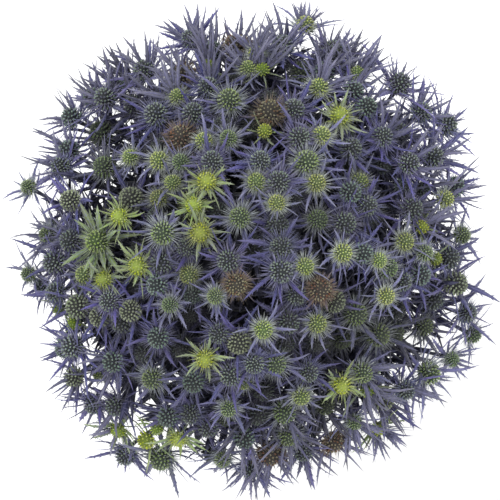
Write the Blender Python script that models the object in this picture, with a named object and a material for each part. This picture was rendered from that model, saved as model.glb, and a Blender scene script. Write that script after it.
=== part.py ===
"""A bunch of sea holly standing in a glass bottle.

The stems fan out of the bottle's neck like the fibres of one flow, so no stem crosses another.
Each stem forks into branches, and each branch ends in a flower head: a knobbly cone of florets
in a star of pointed bracts. A stem and all that grows from it is one object.
"""

import math
import random
from dataclasses import dataclass

import bmesh
import bpy
import numpy as np
from mathutils import Matrix, Vector

MM = 0.001
SEED = 11
GOLDEN_ANGLE = math.radians(137.50776)

# The domed top of the bunch, and how far the heads lean outwards at its rim
DOME_TOP = 400 * MM
DOME_RIM_RADIUS = 137 * MM
DOME_DROP = 96 * MM
DOME_DROP_POWER = 2.3
RIM_LEAN = math.radians(55)
LEAN_POWER = 1.25
MOST_SHARE = 1.1

# The flow that stems and branches follow, from the neck at 0 to the dome at 1
NECK_LEVEL = 205 * MM
NECK_SHARE = 0.118
RISE_SHARE = 0.17
RISE_HEIGHT = 62 * MM
HEAD_LEAD = 52 * MM
FLOW_LENGTH = 200 * MM

# Stems and branches: the stations and forks are places along the flow
STEMS = 20
STEM_SPREAD = 118 * MM
STEM_RADII = (2.0 * MM, 1.9 * MM, 1.8 * MM, 1.7 * MM, 1.6 * MM, 1.5 * MM)
STEM_SIDES = 4
STEM_STATIONS = (0.0, 0.16, 0.32, 0.47, 0.62)
FOOT_SHARE = 0.24
BRANCH_RADIUS = 0.95 * MM
BRANCH_SIDES = 3
BRANCH_MIDDLE = 0.55
LEADER_FORK = 0.60
SIDE_FORKS = (0.42, 0.58)
TWIG_FORKS = (0.68, 0.76)
FORK_REACH = 36 * MM

# Leaves that stand round each stem
LEAVES = 3
LEAF_STATION = 0.46
LEAF_LENGTH = 36 * MM
LEAF_WIDTH = 6.4 * MM
LEAF_KEEL = 1.6 * MM
LEAF_BROADEST = 0.4
LEAF_LIFT = math.radians(32)
LEAF_ROOT_SINK = 0.9 * MM
LEAF_ROOM = (3.3 * MM, 2.2 * MM)

# The outline of a head's cone above its collar, as shares of its radius and height
COLLAR = (0.86, 0.22)
SHOULDER = (0.88, 0.68)
FLORET_BUMP = 0.16
CONE_ROOM = (0.6, 0.8)

# Bracts, which are longer towards the rim
BRACT_ROOT = 0.6
BRACT_LENGTH_SPREAD = 0.18
BRACT_ROOM = (2.0 * MM, 1.3 * MM)
LEAST_OVERHANG = 1.5 * MM
RIM_BRACT_GAIN = 0.35
RIM_BRACT_POWER = 5

# How leaves and bracts bend and shorten to keep clear of their neighbours
PIECE_GAP = 0.45 * MM
BLADE_SPLIT = 0.42
BLADE_SHARES = (1.0, 0.85, 0.7, 0.55, 0.42, 0.3)
BLADE_TURNS = (0, 11, -11, 22, -24, 32, -40)
BRACT_SWINGS = (0, 8, -8)
LEAF_SWINGS = (0, 15, -15, 30, -30)

# The filling of the dome with heads
MOST_HEADS = 160
LEAST_SPACING = 12.4 * MM
FILL_RADIUS = 131 * MM
FILL_TRIES = 2600
YOUNG_SHARE = 0.15
HEAD_SIZES = (0.9, 1.1)
AXIS_JITTER = math.radians(13)
LANDMARK_DEPTHS = (0, 3 * MM)
LEADER_DEPTHS = (2 * MM, 10 * MM)
RIPE_DEPTHS = (0, 24 * MM)
YOUNG_DEPTHS = (0, 12 * MM)

# The bottle and its water
BOTTLE_RADIUS = 41 * MM
BOTTLE_HEIGHT = 210 * MM
BOTTLE_WALL = 3 * MM
BOTTLE_FLOOR = 5 * MM
BOTTLE_HEEL = 3 * MM
BOTTLE_SHOULDER = 118 * MM
SHOULDER_STEPS = 4
INNER_SHOULDER_STEPS = 2
BOTTLE_SIDES = 18
NECK_START = 172 * MM
NECK_RADIUS = 21 * MM
LIP_RADIUS = 23.5 * MM
LIP_START = 200 * MM
LIP_EDGE = 1 * MM
SMOOTH_ANGLE = math.radians(40)
WATER_LEVEL = 112 * MM
SEAT_GAP = 0.3 * MM
HOLE_CLEARANCE = 0.7 * MM
HOLE_OVERRUN = 8 * MM

MERGE_DISTANCE = 0.01 * MM
SHORTEST_EDGE = 0.02 * MM


@dataclass
class Kind:
    """The measures of one age of flower head."""

    cone_radius: float
    cone_height: float
    fine_florets: bool
    bracts: int
    bract_length: float
    bract_lift: float


KINDS = {
    "ripe": Kind(6.1 * MM, 13.0 * MM, True, 7, 22 * MM, math.radians(16)),
    "young": Kind(4.7 * MM, 9.5 * MM, False, 6, 17 * MM, math.radians(10)),
    "star": Kind(4.9 * MM, 8.5 * MM, False, 7, 21 * MM, math.radians(14)),
    "faded": Kind(6.9 * MM, 13.0 * MM, False, 6, 12 * MM, math.radians(8)),
}

# Heads that make the outline of the bunch or stand out by colour: kind, and place in plan in mm
LANDMARKS = (
    ("ripe", -65, 109), ("ripe", -89, 92), ("ripe", -116, 50), ("young", -138, 38),
    ("ripe", -109, 29), ("young", -124, 8), ("ripe", -120, -9), ("young", -137, -16),
    ("ripe", -105, -36), ("ripe", -108, -60), ("ripe", -108, -79), ("ripe", -97, -97),
    ("star", -82, -113), ("ripe", -77, -128), ("young", -64, -118), ("ripe", -55, -130),
    ("star", -44, -117), ("young", -17, -130), ("ripe", 0, -136), ("faded", 12, -128),
    ("ripe", 33, -126), ("faded", 51, -119), ("young", 64, -107), ("star", 79, -111),
    ("ripe", 95, -87), ("ripe", 110, -77), ("young", 125, -69), ("young", 139, -54),
    ("ripe", 134, -40), ("ripe", 127, -22), ("young", 106, -3), ("young", 131, 8),
    ("young", 119, 30), ("ripe", 112, 56), ("ripe", 121, 76), ("ripe", 106, 84),
    ("ripe", 92, 101), ("young", 66, 107), ("ripe", 51, 122), ("young", 34, 138),
    ("ripe", 20, 125), ("young", 4, 119), ("faded", -9, 126), ("ripe", -37, 129),
    ("star", -79, 19), ("ripe", -93, 4), ("star", -89, -19), ("star", -68, -11),
    ("star", -26, 40), ("star", -34, 26), ("star", -30, 9), ("faded", -42, 68),
    ("faded", 12, 83), ("faded", -42, 106), ("faded", 42, -25), ("faded", -8, -22),
    ("star", -27, -67), ("star", 56, -84), ("star", 54, 80), ("young", -44, 92),
    ("young", -28, 65), ("young", -13, 66), ("young", -42, 52), ("young", -55, 53),
    ("young", 43, 68), ("young", 42, 98), ("young", 4, 40), ("young", 40, 39),
    ("young", 16, 27), ("young", 33, -11), ("young", 56, -3), ("young", -21, -29),
    ("young", -48, -34), ("young", 8, -49), ("young", 31, -90), ("young", -13, -98),
    ("young", 82, -29), ("young", 94, 4), ("young", 72, -87),
)


@dataclass
class Head:
    """A flower head and the branch that carries it. A twig's elder is the head it forks from."""

    kind: str
    plan: Vector
    stem: int
    reach: float
    axis: Vector
    twist: float
    size: float
    elder: object
    fork: float

    @property
    def radius(self):
        return KINDS[self.kind].cone_radius * self.size

    @property
    def height(self):
        return KINDS[self.kind].cone_height * self.size


def facing(plan):
    """The direction in which the dome faces at a place in plan."""
    share = min(plan.length / DOME_RIM_RADIUS, MOST_SHARE)
    lean = RIM_LEAN * share**LEAN_POWER
    outward = plan.normalized()
    return Vector((*(outward * math.sin(lean)), math.cos(lean)))


def dome_point(plan):
    share = plan.length / DOME_RIM_RADIUS
    return Vector((*plan, DOME_TOP - DOME_DROP * share**DOME_DROP_POWER))


def flow(plan, t):
    """The point at t of the fibre that ends at this place on the dome."""
    neck = Vector((*(plan * NECK_SHARE), NECK_LEVEL))
    rise = Vector((*(plan * RISE_SHARE), NECK_LEVEL + RISE_HEIGHT))
    end = dome_point(plan)
    lead = end - facing(plan) * HEAD_LEAD
    u = 1 - t
    return neck * u**3 + rise * (3 * u * u * t) + lead * (3 * u * t * t) + end * t**3


def polar(radius, angle):
    return Vector((radius * math.cos(angle), radius * math.sin(angle)))


# Each stem carries the heads round one place in plan, set out as the seeds of a sunflower are
CENTRES = [
    polar(STEM_SPREAD * math.sqrt((index + 0.5) / STEMS), GOLDEN_ANGLE * index)
    for index in range(STEMS)
]


def stem_points(index):
    """The middle line of a stem, from the bottle's floor through the neck to its end."""
    ground = Vector((*(CENTRES[index] * FOOT_SHARE), BOTTLE_FLOOR + SEAT_GAP))
    return [ground, *(flow(CENTRES[index], t) for t in STEM_STATIONS)]


def point_on(points, stations, t):
    """The point at t on the straight pieces between the points at the stations."""
    for a, b, low, high in zip(points, points[1:], stations, stations[1:]):
        if t <= high:
            return a.lerp(b, (t - low) / (high - low))
    return points[-1]


def on_stem(index, t):
    return point_on(stem_points(index)[1:], STEM_STATIONS, t)


def plan_at(head, t):
    """The place in plan of the fibre that the head's branch follows at t."""
    if t <= head.fork:
        return CENTRES[head.stem] if head.elder is None else plan_at(head.elder, t)
    return plan_at(head, head.fork).lerp(head.plan, (t - head.fork) / (head.reach - head.fork))


def head_base(head):
    return flow(head.plan, head.reach) - head.axis * (head.height / 2)


def branch_stations(head):
    """Where along the flow a branch bends. A twig is straight."""
    if head.elder is not None:
        return head.fork, head.reach
    return head.fork, head.fork + (head.reach - head.fork) * BRANCH_MIDDLE, head.reach


def branch_points(head):
    """The middle line of a branch, from the middle of what it grows from to its head."""
    if head.elder is None:
        start = on_stem(head.stem, head.fork)
    else:
        start = point_on(branch_points(head.elder), branch_stations(head.elder), head.fork)
    bends = [flow(plan_at(head, t), t) for t in branch_stations(head)[1:-1]]
    return [start, *bends, head_base(head)]


def segment_distances(start, end, starts, ends):
    """The distance from one straight piece to each of several."""
    along, theirs, offset = end - start, ends - starts, start - starts
    own_square, their_squares = along @ along, (theirs * theirs).sum(1)
    dots, own_offsets = theirs @ along, offset @ along
    their_offsets = (theirs * offset).sum(1)
    tiny = 1e-18
    spread = np.maximum(own_square * their_squares - dots * dots, tiny)
    s = np.clip((dots * their_offsets - own_offsets * their_squares) / spread, 0, 1)
    t = np.clip((dots * s + their_offsets) / np.maximum(their_squares, tiny), 0, 1)
    s = np.clip((dots * t - own_offsets) / own_square, 0, 1)
    apart = (start + s[:, None] * along) - (starts + t[:, None] * theirs)
    return np.sqrt((apart * apart).sum(1))


STEM, BRANCH, CONE, BRACT, LEAF = range(5)
NO_HEAD = -1


class Thicket:
    """Everything placed so far, as straight round pieces, to keep new pieces clear of it."""

    def __init__(self):
        self.starts, self.ends = np.empty((0, 3)), np.empty((0, 3))
        self.radii, self.roles, self.stems, self.heads = (np.empty(0) for _ in range(4))

    def add(self, pieces, role, stem, head=NO_HEAD):
        """Adds (start, end, radius) pieces of one stem and, unless they are none's, one head."""
        starts, ends, radii = zip(*pieces)
        self.starts = np.vstack([self.starts, *starts])
        self.ends = np.vstack([self.ends, *ends])
        self.radii = np.append(self.radii, radii)
        self.roles = np.append(self.roles, [role] * len(pieces))
        self.stems = np.append(self.stems, [stem] * len(pieces))
        self.heads = np.append(self.heads, [head] * len(pieces))

    def is_clear(self, pieces, skip):
        """Whether new pieces keep the gap to every piece that the mask doesn't skip."""
        keep = ~skip
        starts, ends, radii = self.starts[keep], self.ends[keep], self.radii[keep]
        for start, end, radius in pieces:
            gaps = segment_distances(np.array(start), np.array(end), starts, ends) - radii
            if gaps.min() < radius + PIECE_GAP:
                return False
        return True


def tube_pieces(points, radii):
    return list(zip(points, points[1:], radii))


def branch_pieces(head):
    points = branch_points(head)
    return tube_pieces(points, [BRANCH_RADIUS] * len(points))


def cone_pieces(head):
    """A cone as a round-ended piece that holds it all."""
    base = head_base(head)
    low, high = head.radius * CONE_ROOM[0], head.height - head.radius * CONE_ROOM[1]
    return [(base + head.axis * low, base + head.axis * high, head.radius)]


def blade_pieces(root, tip, room):
    """A bract or leaf as a wide inner piece and a slim outer one."""
    middle = root.lerp(tip, BLADE_SPLIT)
    return [(root, middle, room[0]), (middle, tip, room[1])]


def blade_poses(swings):
    """Ways to hold a bract or leaf, from the natural one to the shortest."""
    for share in BLADE_SHARES:
        for turn in BLADE_TURNS:
            for swing in swings:
                yield share, math.radians(turn), math.radians(swing)


def fits(head, thicket):
    """Whether a head and its branch keep clear of what is there, save what they grow from."""
    own_stem = (thicket.stems == head.stem) & (thicket.roles == STEM)
    own_branches = (thicket.stems == head.stem) & (thicket.roles == BRANCH)
    return thicket.is_clear(cone_pieces(head), own_stem) and thicket.is_clear(
        branch_pieces(head), own_stem | own_branches
    )


def find_elder(plan, stem, heads):
    """The nearest head of the same stem whose branch can carry a twig."""
    near = [
        h for h in heads
        if h.stem == stem and h.elder is None and (h.plan - plan).length < FORK_REACH
    ]
    return min(near, key=lambda h: (h.plan - plan).length) if near else None


def choose_fork(stem, elder, heads, rng):
    """Where a branch leaves what it grows from. A stem's first one goes on from its end."""
    if elder is not None:
        return rng.uniform(*TWIG_FORKS)
    if all(h.stem != stem for h in heads):
        return LEADER_FORK
    return rng.uniform(*SIDE_FORKS)


def grow_head(kind, plan, depth, heads, rng):
    stem = min(range(STEMS), key=lambda index: (CENTRES[index] - plan).length)
    elder = find_elder(plan, stem, heads)
    tilt = Matrix.Rotation(rng.uniform(0, AXIS_JITTER), 3, "X")
    turn = Matrix.Rotation(rng.uniform(0, math.tau), 3, "Z")
    axis = facing(plan).to_track_quat("Z", "Y") @ (turn @ tilt @ Vector((0, 0, 1)))
    return Head(
        kind=kind,
        plan=plan,
        stem=stem,
        reach=1 - depth / FLOW_LENGTH,
        axis=axis.normalized(),
        twist=rng.uniform(0, math.tau),
        size=rng.uniform(*HEAD_SIZES),
        elder=elder,
        fork=choose_fork(stem, elder, heads, rng),
    )


def wanted_heads(rng):
    """Kinds, places and depths below the dome, in the order in which they take their places."""
    for kind, x, y in LANDMARKS:
        yield kind, Vector((x, y)) * MM, rng.uniform(*LANDMARK_DEPTHS)
    for centre in CENTRES:
        yield "ripe", centre, rng.uniform(*LEADER_DEPTHS)
    for _ in range(FILL_TRIES):
        young = rng.random() < YOUNG_SHARE
        depth = rng.uniform(*(YOUNG_DEPTHS if young else RIPE_DEPTHS))
        place = polar(FILL_RADIUS * math.sqrt(rng.random()), rng.uniform(0, math.tau))
        yield "young" if young else "ripe", place, depth


def grow_bunch():
    """All the heads, and the thicket that they make with the stems and branches."""
    rng = random.Random(SEED)
    heads, thicket = [], Thicket()
    for index in range(STEMS):
        thicket.add(tube_pieces(stem_points(index), STEM_RADII), STEM, index)
    for kind, plan, depth in wanted_heads(rng):
        head = grow_head(kind, plan, depth, heads, rng)
        crowded = any((h.plan - plan).length < LEAST_SPACING for h in heads)
        if len(heads) < MOST_HEADS and not crowded and fits(head, thicket):
            thicket.add(branch_pieces(head), BRANCH, head.stem, len(heads))
            thicket.add(cone_pieces(head), CONE, head.stem, len(heads))
            heads.append(head)
    return heads, thicket


def place_leaf(root, angle, thicket, own):
    """The tip of a leaf bent clear of what is near it, with its pieces, or none."""
    for share, turn, swing in blade_poses(LEAF_SWINGS):
        lift = LEAF_LIFT + turn
        ahead = Vector((*polar(math.cos(lift), angle + swing), math.sin(lift)))
        tip = root + ahead * LEAF_LENGTH * share
        blade = blade_pieces(root + ahead * LEAF_ROOM[0], tip, LEAF_ROOM)
        if thicket.is_clear(blade, own):
            return tip, blade
    return None, []


def place_leaves(thicket):
    """The stem, root and tip of every leaf."""
    leaves = []
    for stem in range(STEMS):
        root = on_stem(stem, LEAF_STATION)
        own = (thicket.stems == stem) & (thicket.roles != CONE)
        pieces = []
        for index in range(LEAVES):
            angle = GOLDEN_ANGLE * stem + math.tau * index / LEAVES
            tip, blade = place_leaf(root, angle, thicket, own)
            if tip is not None:
                leaves.append((stem, root, tip))
                pieces += blade
        if pieces:
            thicket.add(pieces, LEAF, stem)
    return leaves


def head_matrix(head):
    turned = head.axis.to_track_quat("Z", "Y").to_matrix() @ Matrix.Rotation(head.twist, 3, "Z")
    return Matrix.Translation(head_base(head)) @ turned.to_4x4()


def cone_outline(head):
    """The (radius, height) points of a head's cone, from its collar to its top."""
    rings = [(head.radius * r, head.height * h) for r, h in (COLLAR, SHOULDER)]
    return [*rings, (0, head.height)]


def bract_tip(root, angle, length, lift):
    return root + Vector((*polar(math.cos(lift) * length, angle), math.sin(lift) * length))


def rim_gain(plan):
    share = min(plan.length / DOME_RIM_RADIUS, 1)
    return 1 + RIM_BRACT_GAIN * share**RIM_BRACT_POWER


def place_bracts(head, number, thicket, rng):
    """The tips of a head's bracts in its own frame, each bent clear of what is near it."""
    kind, place = KINDS[head.kind], head_matrix(head)
    collar_radius, collar_height = cone_outline(head)[0]
    own = thicket.heads == number
    tips, pieces = [], []
    for index in range(kind.bracts):
        angle = math.tau * (index + 0.5) / kind.bracts
        root = Vector((*polar(collar_radius * BRACT_ROOT, angle), collar_height / 2))
        spread = rng.uniform(1 - BRACT_LENGTH_SPREAD, 1 + BRACT_LENGTH_SPREAD)
        length = kind.bract_length * head.size * rim_gain(head.plan) * spread
        for share, turn, swing in blade_poses(BRACT_SWINGS):
            tip = bract_tip(root, angle + swing, length * share, kind.bract_lift + turn)
            blade = blade_pieces(place @ root, place @ tip, BRACT_ROOM)
            if thicket.is_clear(blade, own):
                break
        else:
            tip = Vector((*polar(head.radius, angle), collar_height))
            blade = blade_pieces(place @ root, place @ tip, BRACT_ROOM)
        pieces += blade
        tips.append(tip)
    thicket.add(pieces, BRACT, head.stem, number)
    return tips


def add_tube(bm, points, radii, sides, open_end=False):
    """Adds a tube through the points, with a radius at each, and returns its last ring's edges."""
    rings, last = [], len(points) - 1
    side = (points[1] - points[0]).orthogonal()
    for index, (point, radius) in enumerate(zip(points, radii)):
        ahead = (points[min(index + 1, last)] - points[max(index - 1, 0)]).normalized()
        side = (side - side.dot(ahead) * ahead).normalized()
        across = (side, ahead.cross(side))
        ring = []
        for corner in range(sides):
            u, v = polar(radius, math.tau * corner / sides)
            ring.append(bm.verts.new(point + across[0] * u + across[1] * v))
        rings.append(ring)
    for low, high in zip(rings, rings[1:]):
        for a in range(sides):
            b = (a + 1) % sides
            bm.faces.new((low[a], low[b], high[b], high[a]))
    bm.faces.new(reversed(rings[0]))
    if not open_end:
        bm.faces.new(rings[-1])
    mouth = rings[-1]
    return [bm.edges.get(pair) for pair in zip(mouth, mouth[1:] + mouth[:1])]


def tube(points, radii, sides):
    bm = bmesh.new()
    add_tube(bm, points, radii, sides)
    return bm


def turned(profile, sides):
    """The surface that a profile of (radius, height) points makes round the Z axis."""
    bm = bmesh.new()
    corners = [bm.verts.new((radius, 0, height)) for radius, height in profile]
    edges = [bm.edges.new(pair) for pair in zip(corners, corners[1:])]
    bmesh.ops.spin(
        bm, geom=corners + edges, cent=(0, 0, 0), axis=(0, 0, 1), angle=math.tau, steps=sides,
        use_merge=True,
    )
    bmesh.ops.remove_doubles(bm, verts=bm.verts, dist=MERGE_DISTANCE)
    bmesh.ops.recalc_face_normals(bm, faces=bm.faces)
    return bm


def tip_ahead(point, tips):
    """The tip of the bract that grows from the side of the head where the point is."""
    turn = math.atan2(point.y, point.x) % math.tau / math.tau
    return tips[int(turn * len(tips))]


def head_solid(head, tips):
    """A branch that opens into a cone raised into florets, with bracts drawn out round its collar.

    A bract comes from the face under the collar, or from the one above it if it rises too steeply.
    """
    kind, place = KINDS[head.kind], head_matrix(head)
    bm = turned(cone_outline(head), kind.bracts)
    band = [face for face in bm.faces if len(face.verts) == 4]
    if kind.fine_florets:
        band = bmesh.ops.triangulate(bm, faces=band)["faces"]
    bmesh.ops.poke(bm, faces=band, offset=head.radius * FLORET_BUMP)

    collar = [edge for edge in bm.edges if edge.is_boundary]
    branch = [place.inverted() @ point for point in branch_points(head)]
    mouth = add_tube(bm, branch, [BRANCH_RADIUS] * len(branch), BRANCH_SIDES, open_end=True)
    funnel = bmesh.ops.bridge_loops(bm, edges=collar + mouth)["faces"]
    bmesh.ops.recalc_face_normals(bm, faces=bm.faces)

    roots = []
    for edge in collar:
        below, above = sorted(edge.link_faces, key=lambda face: face not in funnel)
        start = below.calc_center_median()
        overhang = (tip_ahead(start, tips) - start).dot(below.normal)
        roots.append(below if overhang > LEAST_OVERHANG else above)
    for face in bmesh.ops.extrude_discrete_faces(bm, faces=roots)["faces"]:
        tip = tip_ahead(face.calc_center_median(), tips)
        bmesh.ops.pointmerge(bm, verts=list(face.verts), merge_co=tip)
    bm.transform(place)
    return bm


def leaf_solid(root, tip):
    """A keeled blade, narrow at its root and pointed at its tip."""
    along = tip - root
    across = along.cross(Vector((0, 0, 1))).normalized() * (LEAF_WIDTH / 2)
    under = across.cross(along).normalized() * LEAF_KEEL
    middle = root + along * LEAF_BROADEST
    bm = bmesh.new()
    low = bm.verts.new(root - along.normalized() * LEAF_ROOT_SINK)
    rim = [bm.verts.new(middle + offset) for offset in (across, under, -across)]
    high = bm.verts.new(tip)
    for a, b in zip(rim, rim[1:] + rim[:1]):
        bm.faces.new((low, a, b))
        bm.faces.new((high, b, a))
    bmesh.ops.recalc_face_normals(bm, faces=bm.faces)
    return bm


def make_material(name, colour, roughness, alpha=1.0):
    material = bpy.data.materials.new(name)
    material.use_nodes = True
    shader = material.node_tree.nodes["Principled BSDF"]
    shader.inputs["Base Color"].default_value = (*colour, 1)
    shader.inputs["Roughness"].default_value = roughness
    shader.inputs["Metallic"].default_value = 0.0
    shader.inputs["Alpha"].default_value = alpha
    return material


def add_object(name, bm, material, collection):
    mesh = bpy.data.meshes.new(name)
    bm.to_mesh(mesh)
    bm.free()
    mesh.materials.append(material)
    obj = bpy.data.objects.new(name, mesh)
    collection.objects.link(obj)
    return obj


def new_collection(name):
    collection = bpy.data.collections.new(name)
    bpy.context.scene.collection.children.link(collection)
    return collection


def fuse(obj, collection, operation, solver="EXACT"):
    """Joins the collection's solids to the object or cuts them out of it, and removes them."""
    modifier = obj.modifiers.new("fuse", "BOOLEAN")
    modifier.operand_type = "COLLECTION"
    modifier.collection = collection
    modifier.operation = operation
    modifier.solver = solver
    graph = bpy.context.evaluated_depsgraph_get()
    fused = bpy.data.meshes.new_from_object(obj.evaluated_get(graph))
    obj.modifiers.remove(modifier)
    obj.data = fused
    for helper in list(collection.objects):
        bpy.data.objects.remove(helper)
    bpy.data.collections.remove(collection)


def close_slivers(obj):
    """Draws in the edges and faces that are too thin for a STEP file to keep."""
    bm = bmesh.new()
    bm.from_mesh(obj.data)
    bmesh.ops.triangulate(bm, faces=bm.faces)
    bmesh.ops.dissolve_degenerate(bm, dist=SHORTEST_EDGE, edges=bm.edges)
    bmesh.ops.triangulate(bm, faces=bm.faces)
    bm.to_mesh(obj.data)
    bm.free()


def make_spray(index, heads, bract_tips, leaves, material):
    """One stem with its leaves, branches and heads. EXACT would leave some of them apart."""
    stem = tube(stem_points(index), STEM_RADII, STEM_SIDES)
    spray = add_object(f"spray_{index + 1:02d}", stem, material, bpy.context.scene.collection)
    growth = new_collection("growth")
    for head, tips in zip(heads, bract_tips):
        if head.stem == index:
            add_object("head", head_solid(head, tips), material, growth)
    for stem, root, tip in leaves:
        if stem == index:
            add_object("leaf", leaf_solid(root, tip), material, growth)
    fuse(spray, growth, "UNION", solver="MANIFOLD")
    close_slivers(spray)


def shoulder(low, high, steps):
    """Points of a smooth shoulder between two (radius, height) points."""
    points = []
    for step in range(steps + 1):
        share = step / steps
        ease = (1 - math.cos(math.pi * share)) / 2
        points.append((low[0] + (high[0] - low[0]) * ease, low[1] + (high[1] - low[1]) * share))
    return points


def make_bottle(material):
    inner, inner_neck = BOTTLE_RADIUS - BOTTLE_WALL, NECK_RADIUS - BOTTLE_WALL
    profile = [
        (0, 0),
        (BOTTLE_RADIUS - BOTTLE_HEEL, 0),
        (BOTTLE_RADIUS, BOTTLE_HEEL),
        *shoulder((BOTTLE_RADIUS, BOTTLE_SHOULDER), (NECK_RADIUS, NECK_START), SHOULDER_STEPS),
        (NECK_RADIUS, LIP_START),
        (LIP_RADIUS, LIP_START + LIP_EDGE),
        (LIP_RADIUS, BOTTLE_HEIGHT - LIP_EDGE),
        (LIP_RADIUS - LIP_EDGE, BOTTLE_HEIGHT),
        (inner_neck + LIP_EDGE, BOTTLE_HEIGHT),
        (inner_neck, BOTTLE_HEIGHT - LIP_EDGE),
        *shoulder((inner_neck, NECK_START), (inner, BOTTLE_SHOULDER), INNER_SHOULDER_STEPS),
        (inner, BOTTLE_FLOOR),
        (0, BOTTLE_FLOOR),
    ]
    solid = turned(profile, BOTTLE_SIDES)
    bottle = add_object("bottle", solid, material, bpy.context.scene.collection)
    bottle.data.shade_smooth()
    bottle.data.set_sharp_from_angle(angle=SMOOTH_ANGLE)


def make_water(material):
    """The water, with a plain hole for each stem."""
    radius = BOTTLE_RADIUS - BOTTLE_WALL - SEAT_GAP
    floor = BOTTLE_FLOOR + SEAT_GAP
    profile = [(0, floor), (radius, floor), (radius, WATER_LEVEL), (0, WATER_LEVEL)]
    solid = turned(profile, BOTTLE_SIDES)
    water = add_object("water", solid, material, bpy.context.scene.collection)
    holes = new_collection("holes")
    for index in range(STEMS):
        foot, neck = stem_points(index)[:2]
        ahead = (neck - foot).normalized()
        ends = [foot - ahead * HOLE_OVERRUN, foot + ahead * (WATER_LEVEL + HOLE_OVERRUN)]
        radii = [STEM_RADII[0] + HOLE_CLEARANCE] * len(ends)
        add_object("hole", tube(ends, radii, STEM_SIDES), material, holes)
    fuse(water, holes, "DIFFERENCE")


def main():
    for obj in list(bpy.data.objects):
        bpy.data.objects.remove(obj)
    make_bottle(make_material("clear_glass", (0.85, 0.93, 0.90), 0.05, alpha=0.35))
    make_water(make_material("water", (0.80, 0.88, 0.88), 0.02, alpha=0.3))
    heads, thicket = grow_bunch()
    leaves = place_leaves(thicket)
    rng = random.Random(SEED)
    bract_tips = [place_bracts(head, number, thicket, rng) for number, head in enumerate(heads)]
    holly = make_material("sea_holly", (0.17, 0.18, 0.33), 0.7)
    for index in range(STEMS):
        make_spray(index, heads, bract_tips, leaves, holly)


main()
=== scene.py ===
"""The looks of a bunch of sea holly in a glass bottle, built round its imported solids.

The layout of stems, heads, bracts and leaves repeats the part's own, so that each visible piece
lies where its solid does. Small shapes such as a floret, a spine or a bract are modelled once or
in a few forms, and stamped into each spray's pieces.
"""

import math
import random
from dataclasses import dataclass

import bmesh
import bpy
import numpy as np
from mathutils import Matrix, Vector


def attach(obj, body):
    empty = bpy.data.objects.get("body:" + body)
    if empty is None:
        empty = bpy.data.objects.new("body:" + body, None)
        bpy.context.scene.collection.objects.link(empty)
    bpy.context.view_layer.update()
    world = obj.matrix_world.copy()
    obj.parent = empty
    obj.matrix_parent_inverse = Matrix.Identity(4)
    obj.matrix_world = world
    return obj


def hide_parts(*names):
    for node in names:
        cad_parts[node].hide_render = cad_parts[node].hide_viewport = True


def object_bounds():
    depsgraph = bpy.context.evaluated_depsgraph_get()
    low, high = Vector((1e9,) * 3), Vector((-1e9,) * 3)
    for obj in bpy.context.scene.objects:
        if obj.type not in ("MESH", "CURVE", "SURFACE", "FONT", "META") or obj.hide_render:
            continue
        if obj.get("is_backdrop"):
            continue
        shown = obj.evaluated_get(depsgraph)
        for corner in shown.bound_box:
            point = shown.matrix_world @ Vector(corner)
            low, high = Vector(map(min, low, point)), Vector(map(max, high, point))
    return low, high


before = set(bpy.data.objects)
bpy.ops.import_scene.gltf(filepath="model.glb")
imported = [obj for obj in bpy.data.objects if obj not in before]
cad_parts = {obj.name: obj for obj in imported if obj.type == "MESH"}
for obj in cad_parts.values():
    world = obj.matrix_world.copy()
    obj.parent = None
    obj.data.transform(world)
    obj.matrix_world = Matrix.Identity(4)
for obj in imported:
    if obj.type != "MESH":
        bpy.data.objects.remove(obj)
CAD_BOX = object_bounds()

MM = 0.001
SEED = 11
GOLDEN_ANGLE = math.radians(137.50776)

# The domed top of the bunch, and how far the heads lean outwards at its rim
DOME_TOP = 400 * MM
DOME_RIM_RADIUS = 137 * MM
DOME_DROP = 96 * MM
DOME_DROP_POWER = 2.3
RIM_LEAN = math.radians(55)
LEAN_POWER = 1.25
MOST_SHARE = 1.1

# The flow that stems and branches follow, from the neck at 0 to the dome at 1
NECK_LEVEL = 205 * MM
NECK_SHARE = 0.118
RISE_SHARE = 0.17
RISE_HEIGHT = 62 * MM
HEAD_LEAD = 52 * MM
FLOW_LENGTH = 200 * MM

# Stems and branches: the stations and forks are places along the flow
STEMS = 20
STEM_SPREAD = 118 * MM
STEM_RADII = (2.0 * MM, 1.9 * MM, 1.8 * MM, 1.7 * MM, 1.6 * MM, 1.5 * MM)
STEM_STATIONS = (0.0, 0.16, 0.32, 0.47, 0.62)
FOOT_SHARE = 0.24
BRANCH_RADIUS = 0.95 * MM
BRANCH_MIDDLE = 0.55
LEADER_FORK = 0.60
SIDE_FORKS = (0.42, 0.58)
TWIG_FORKS = (0.68, 0.76)
FORK_REACH = 36 * MM

# Leaves that stand round each stem
LEAVES = 3
LEAF_STATION = 0.46
LEAF_LENGTH = 36 * MM
LEAF_LIFT = math.radians(32)
LEAF_ROOM = (3.3 * MM, 2.2 * MM)

# A head's collar as shares of its radius and height, and the room its cone takes up
COLLAR = (0.86, 0.22)
CONE_ROOM = (0.6, 0.8)

# Bracts, which are longer towards the rim
BRACT_ROOT = 0.6
BRACT_LENGTH_SPREAD = 0.18
BRACT_ROOM = (2.0 * MM, 1.3 * MM)
SLIM_ROOM = (0.9 * MM, 0.5 * MM)
RIM_BRACT_GAIN = 0.35
RIM_BRACT_POWER = 5

# How leaves and bracts bend and shorten to keep clear of their neighbours
PIECE_GAP = 0.45 * MM
BLADE_SPLIT = 0.42
BLADE_SHARES = (1.0, 0.85, 0.7, 0.55, 0.42, 0.3)
BLADE_TURNS = (0, 11, -11, 22, -24, 32, -40)
BRACT_SWINGS = (0, 8, -8)
LEAF_SWINGS = (0, 15, -15, 30, -30)

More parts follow.
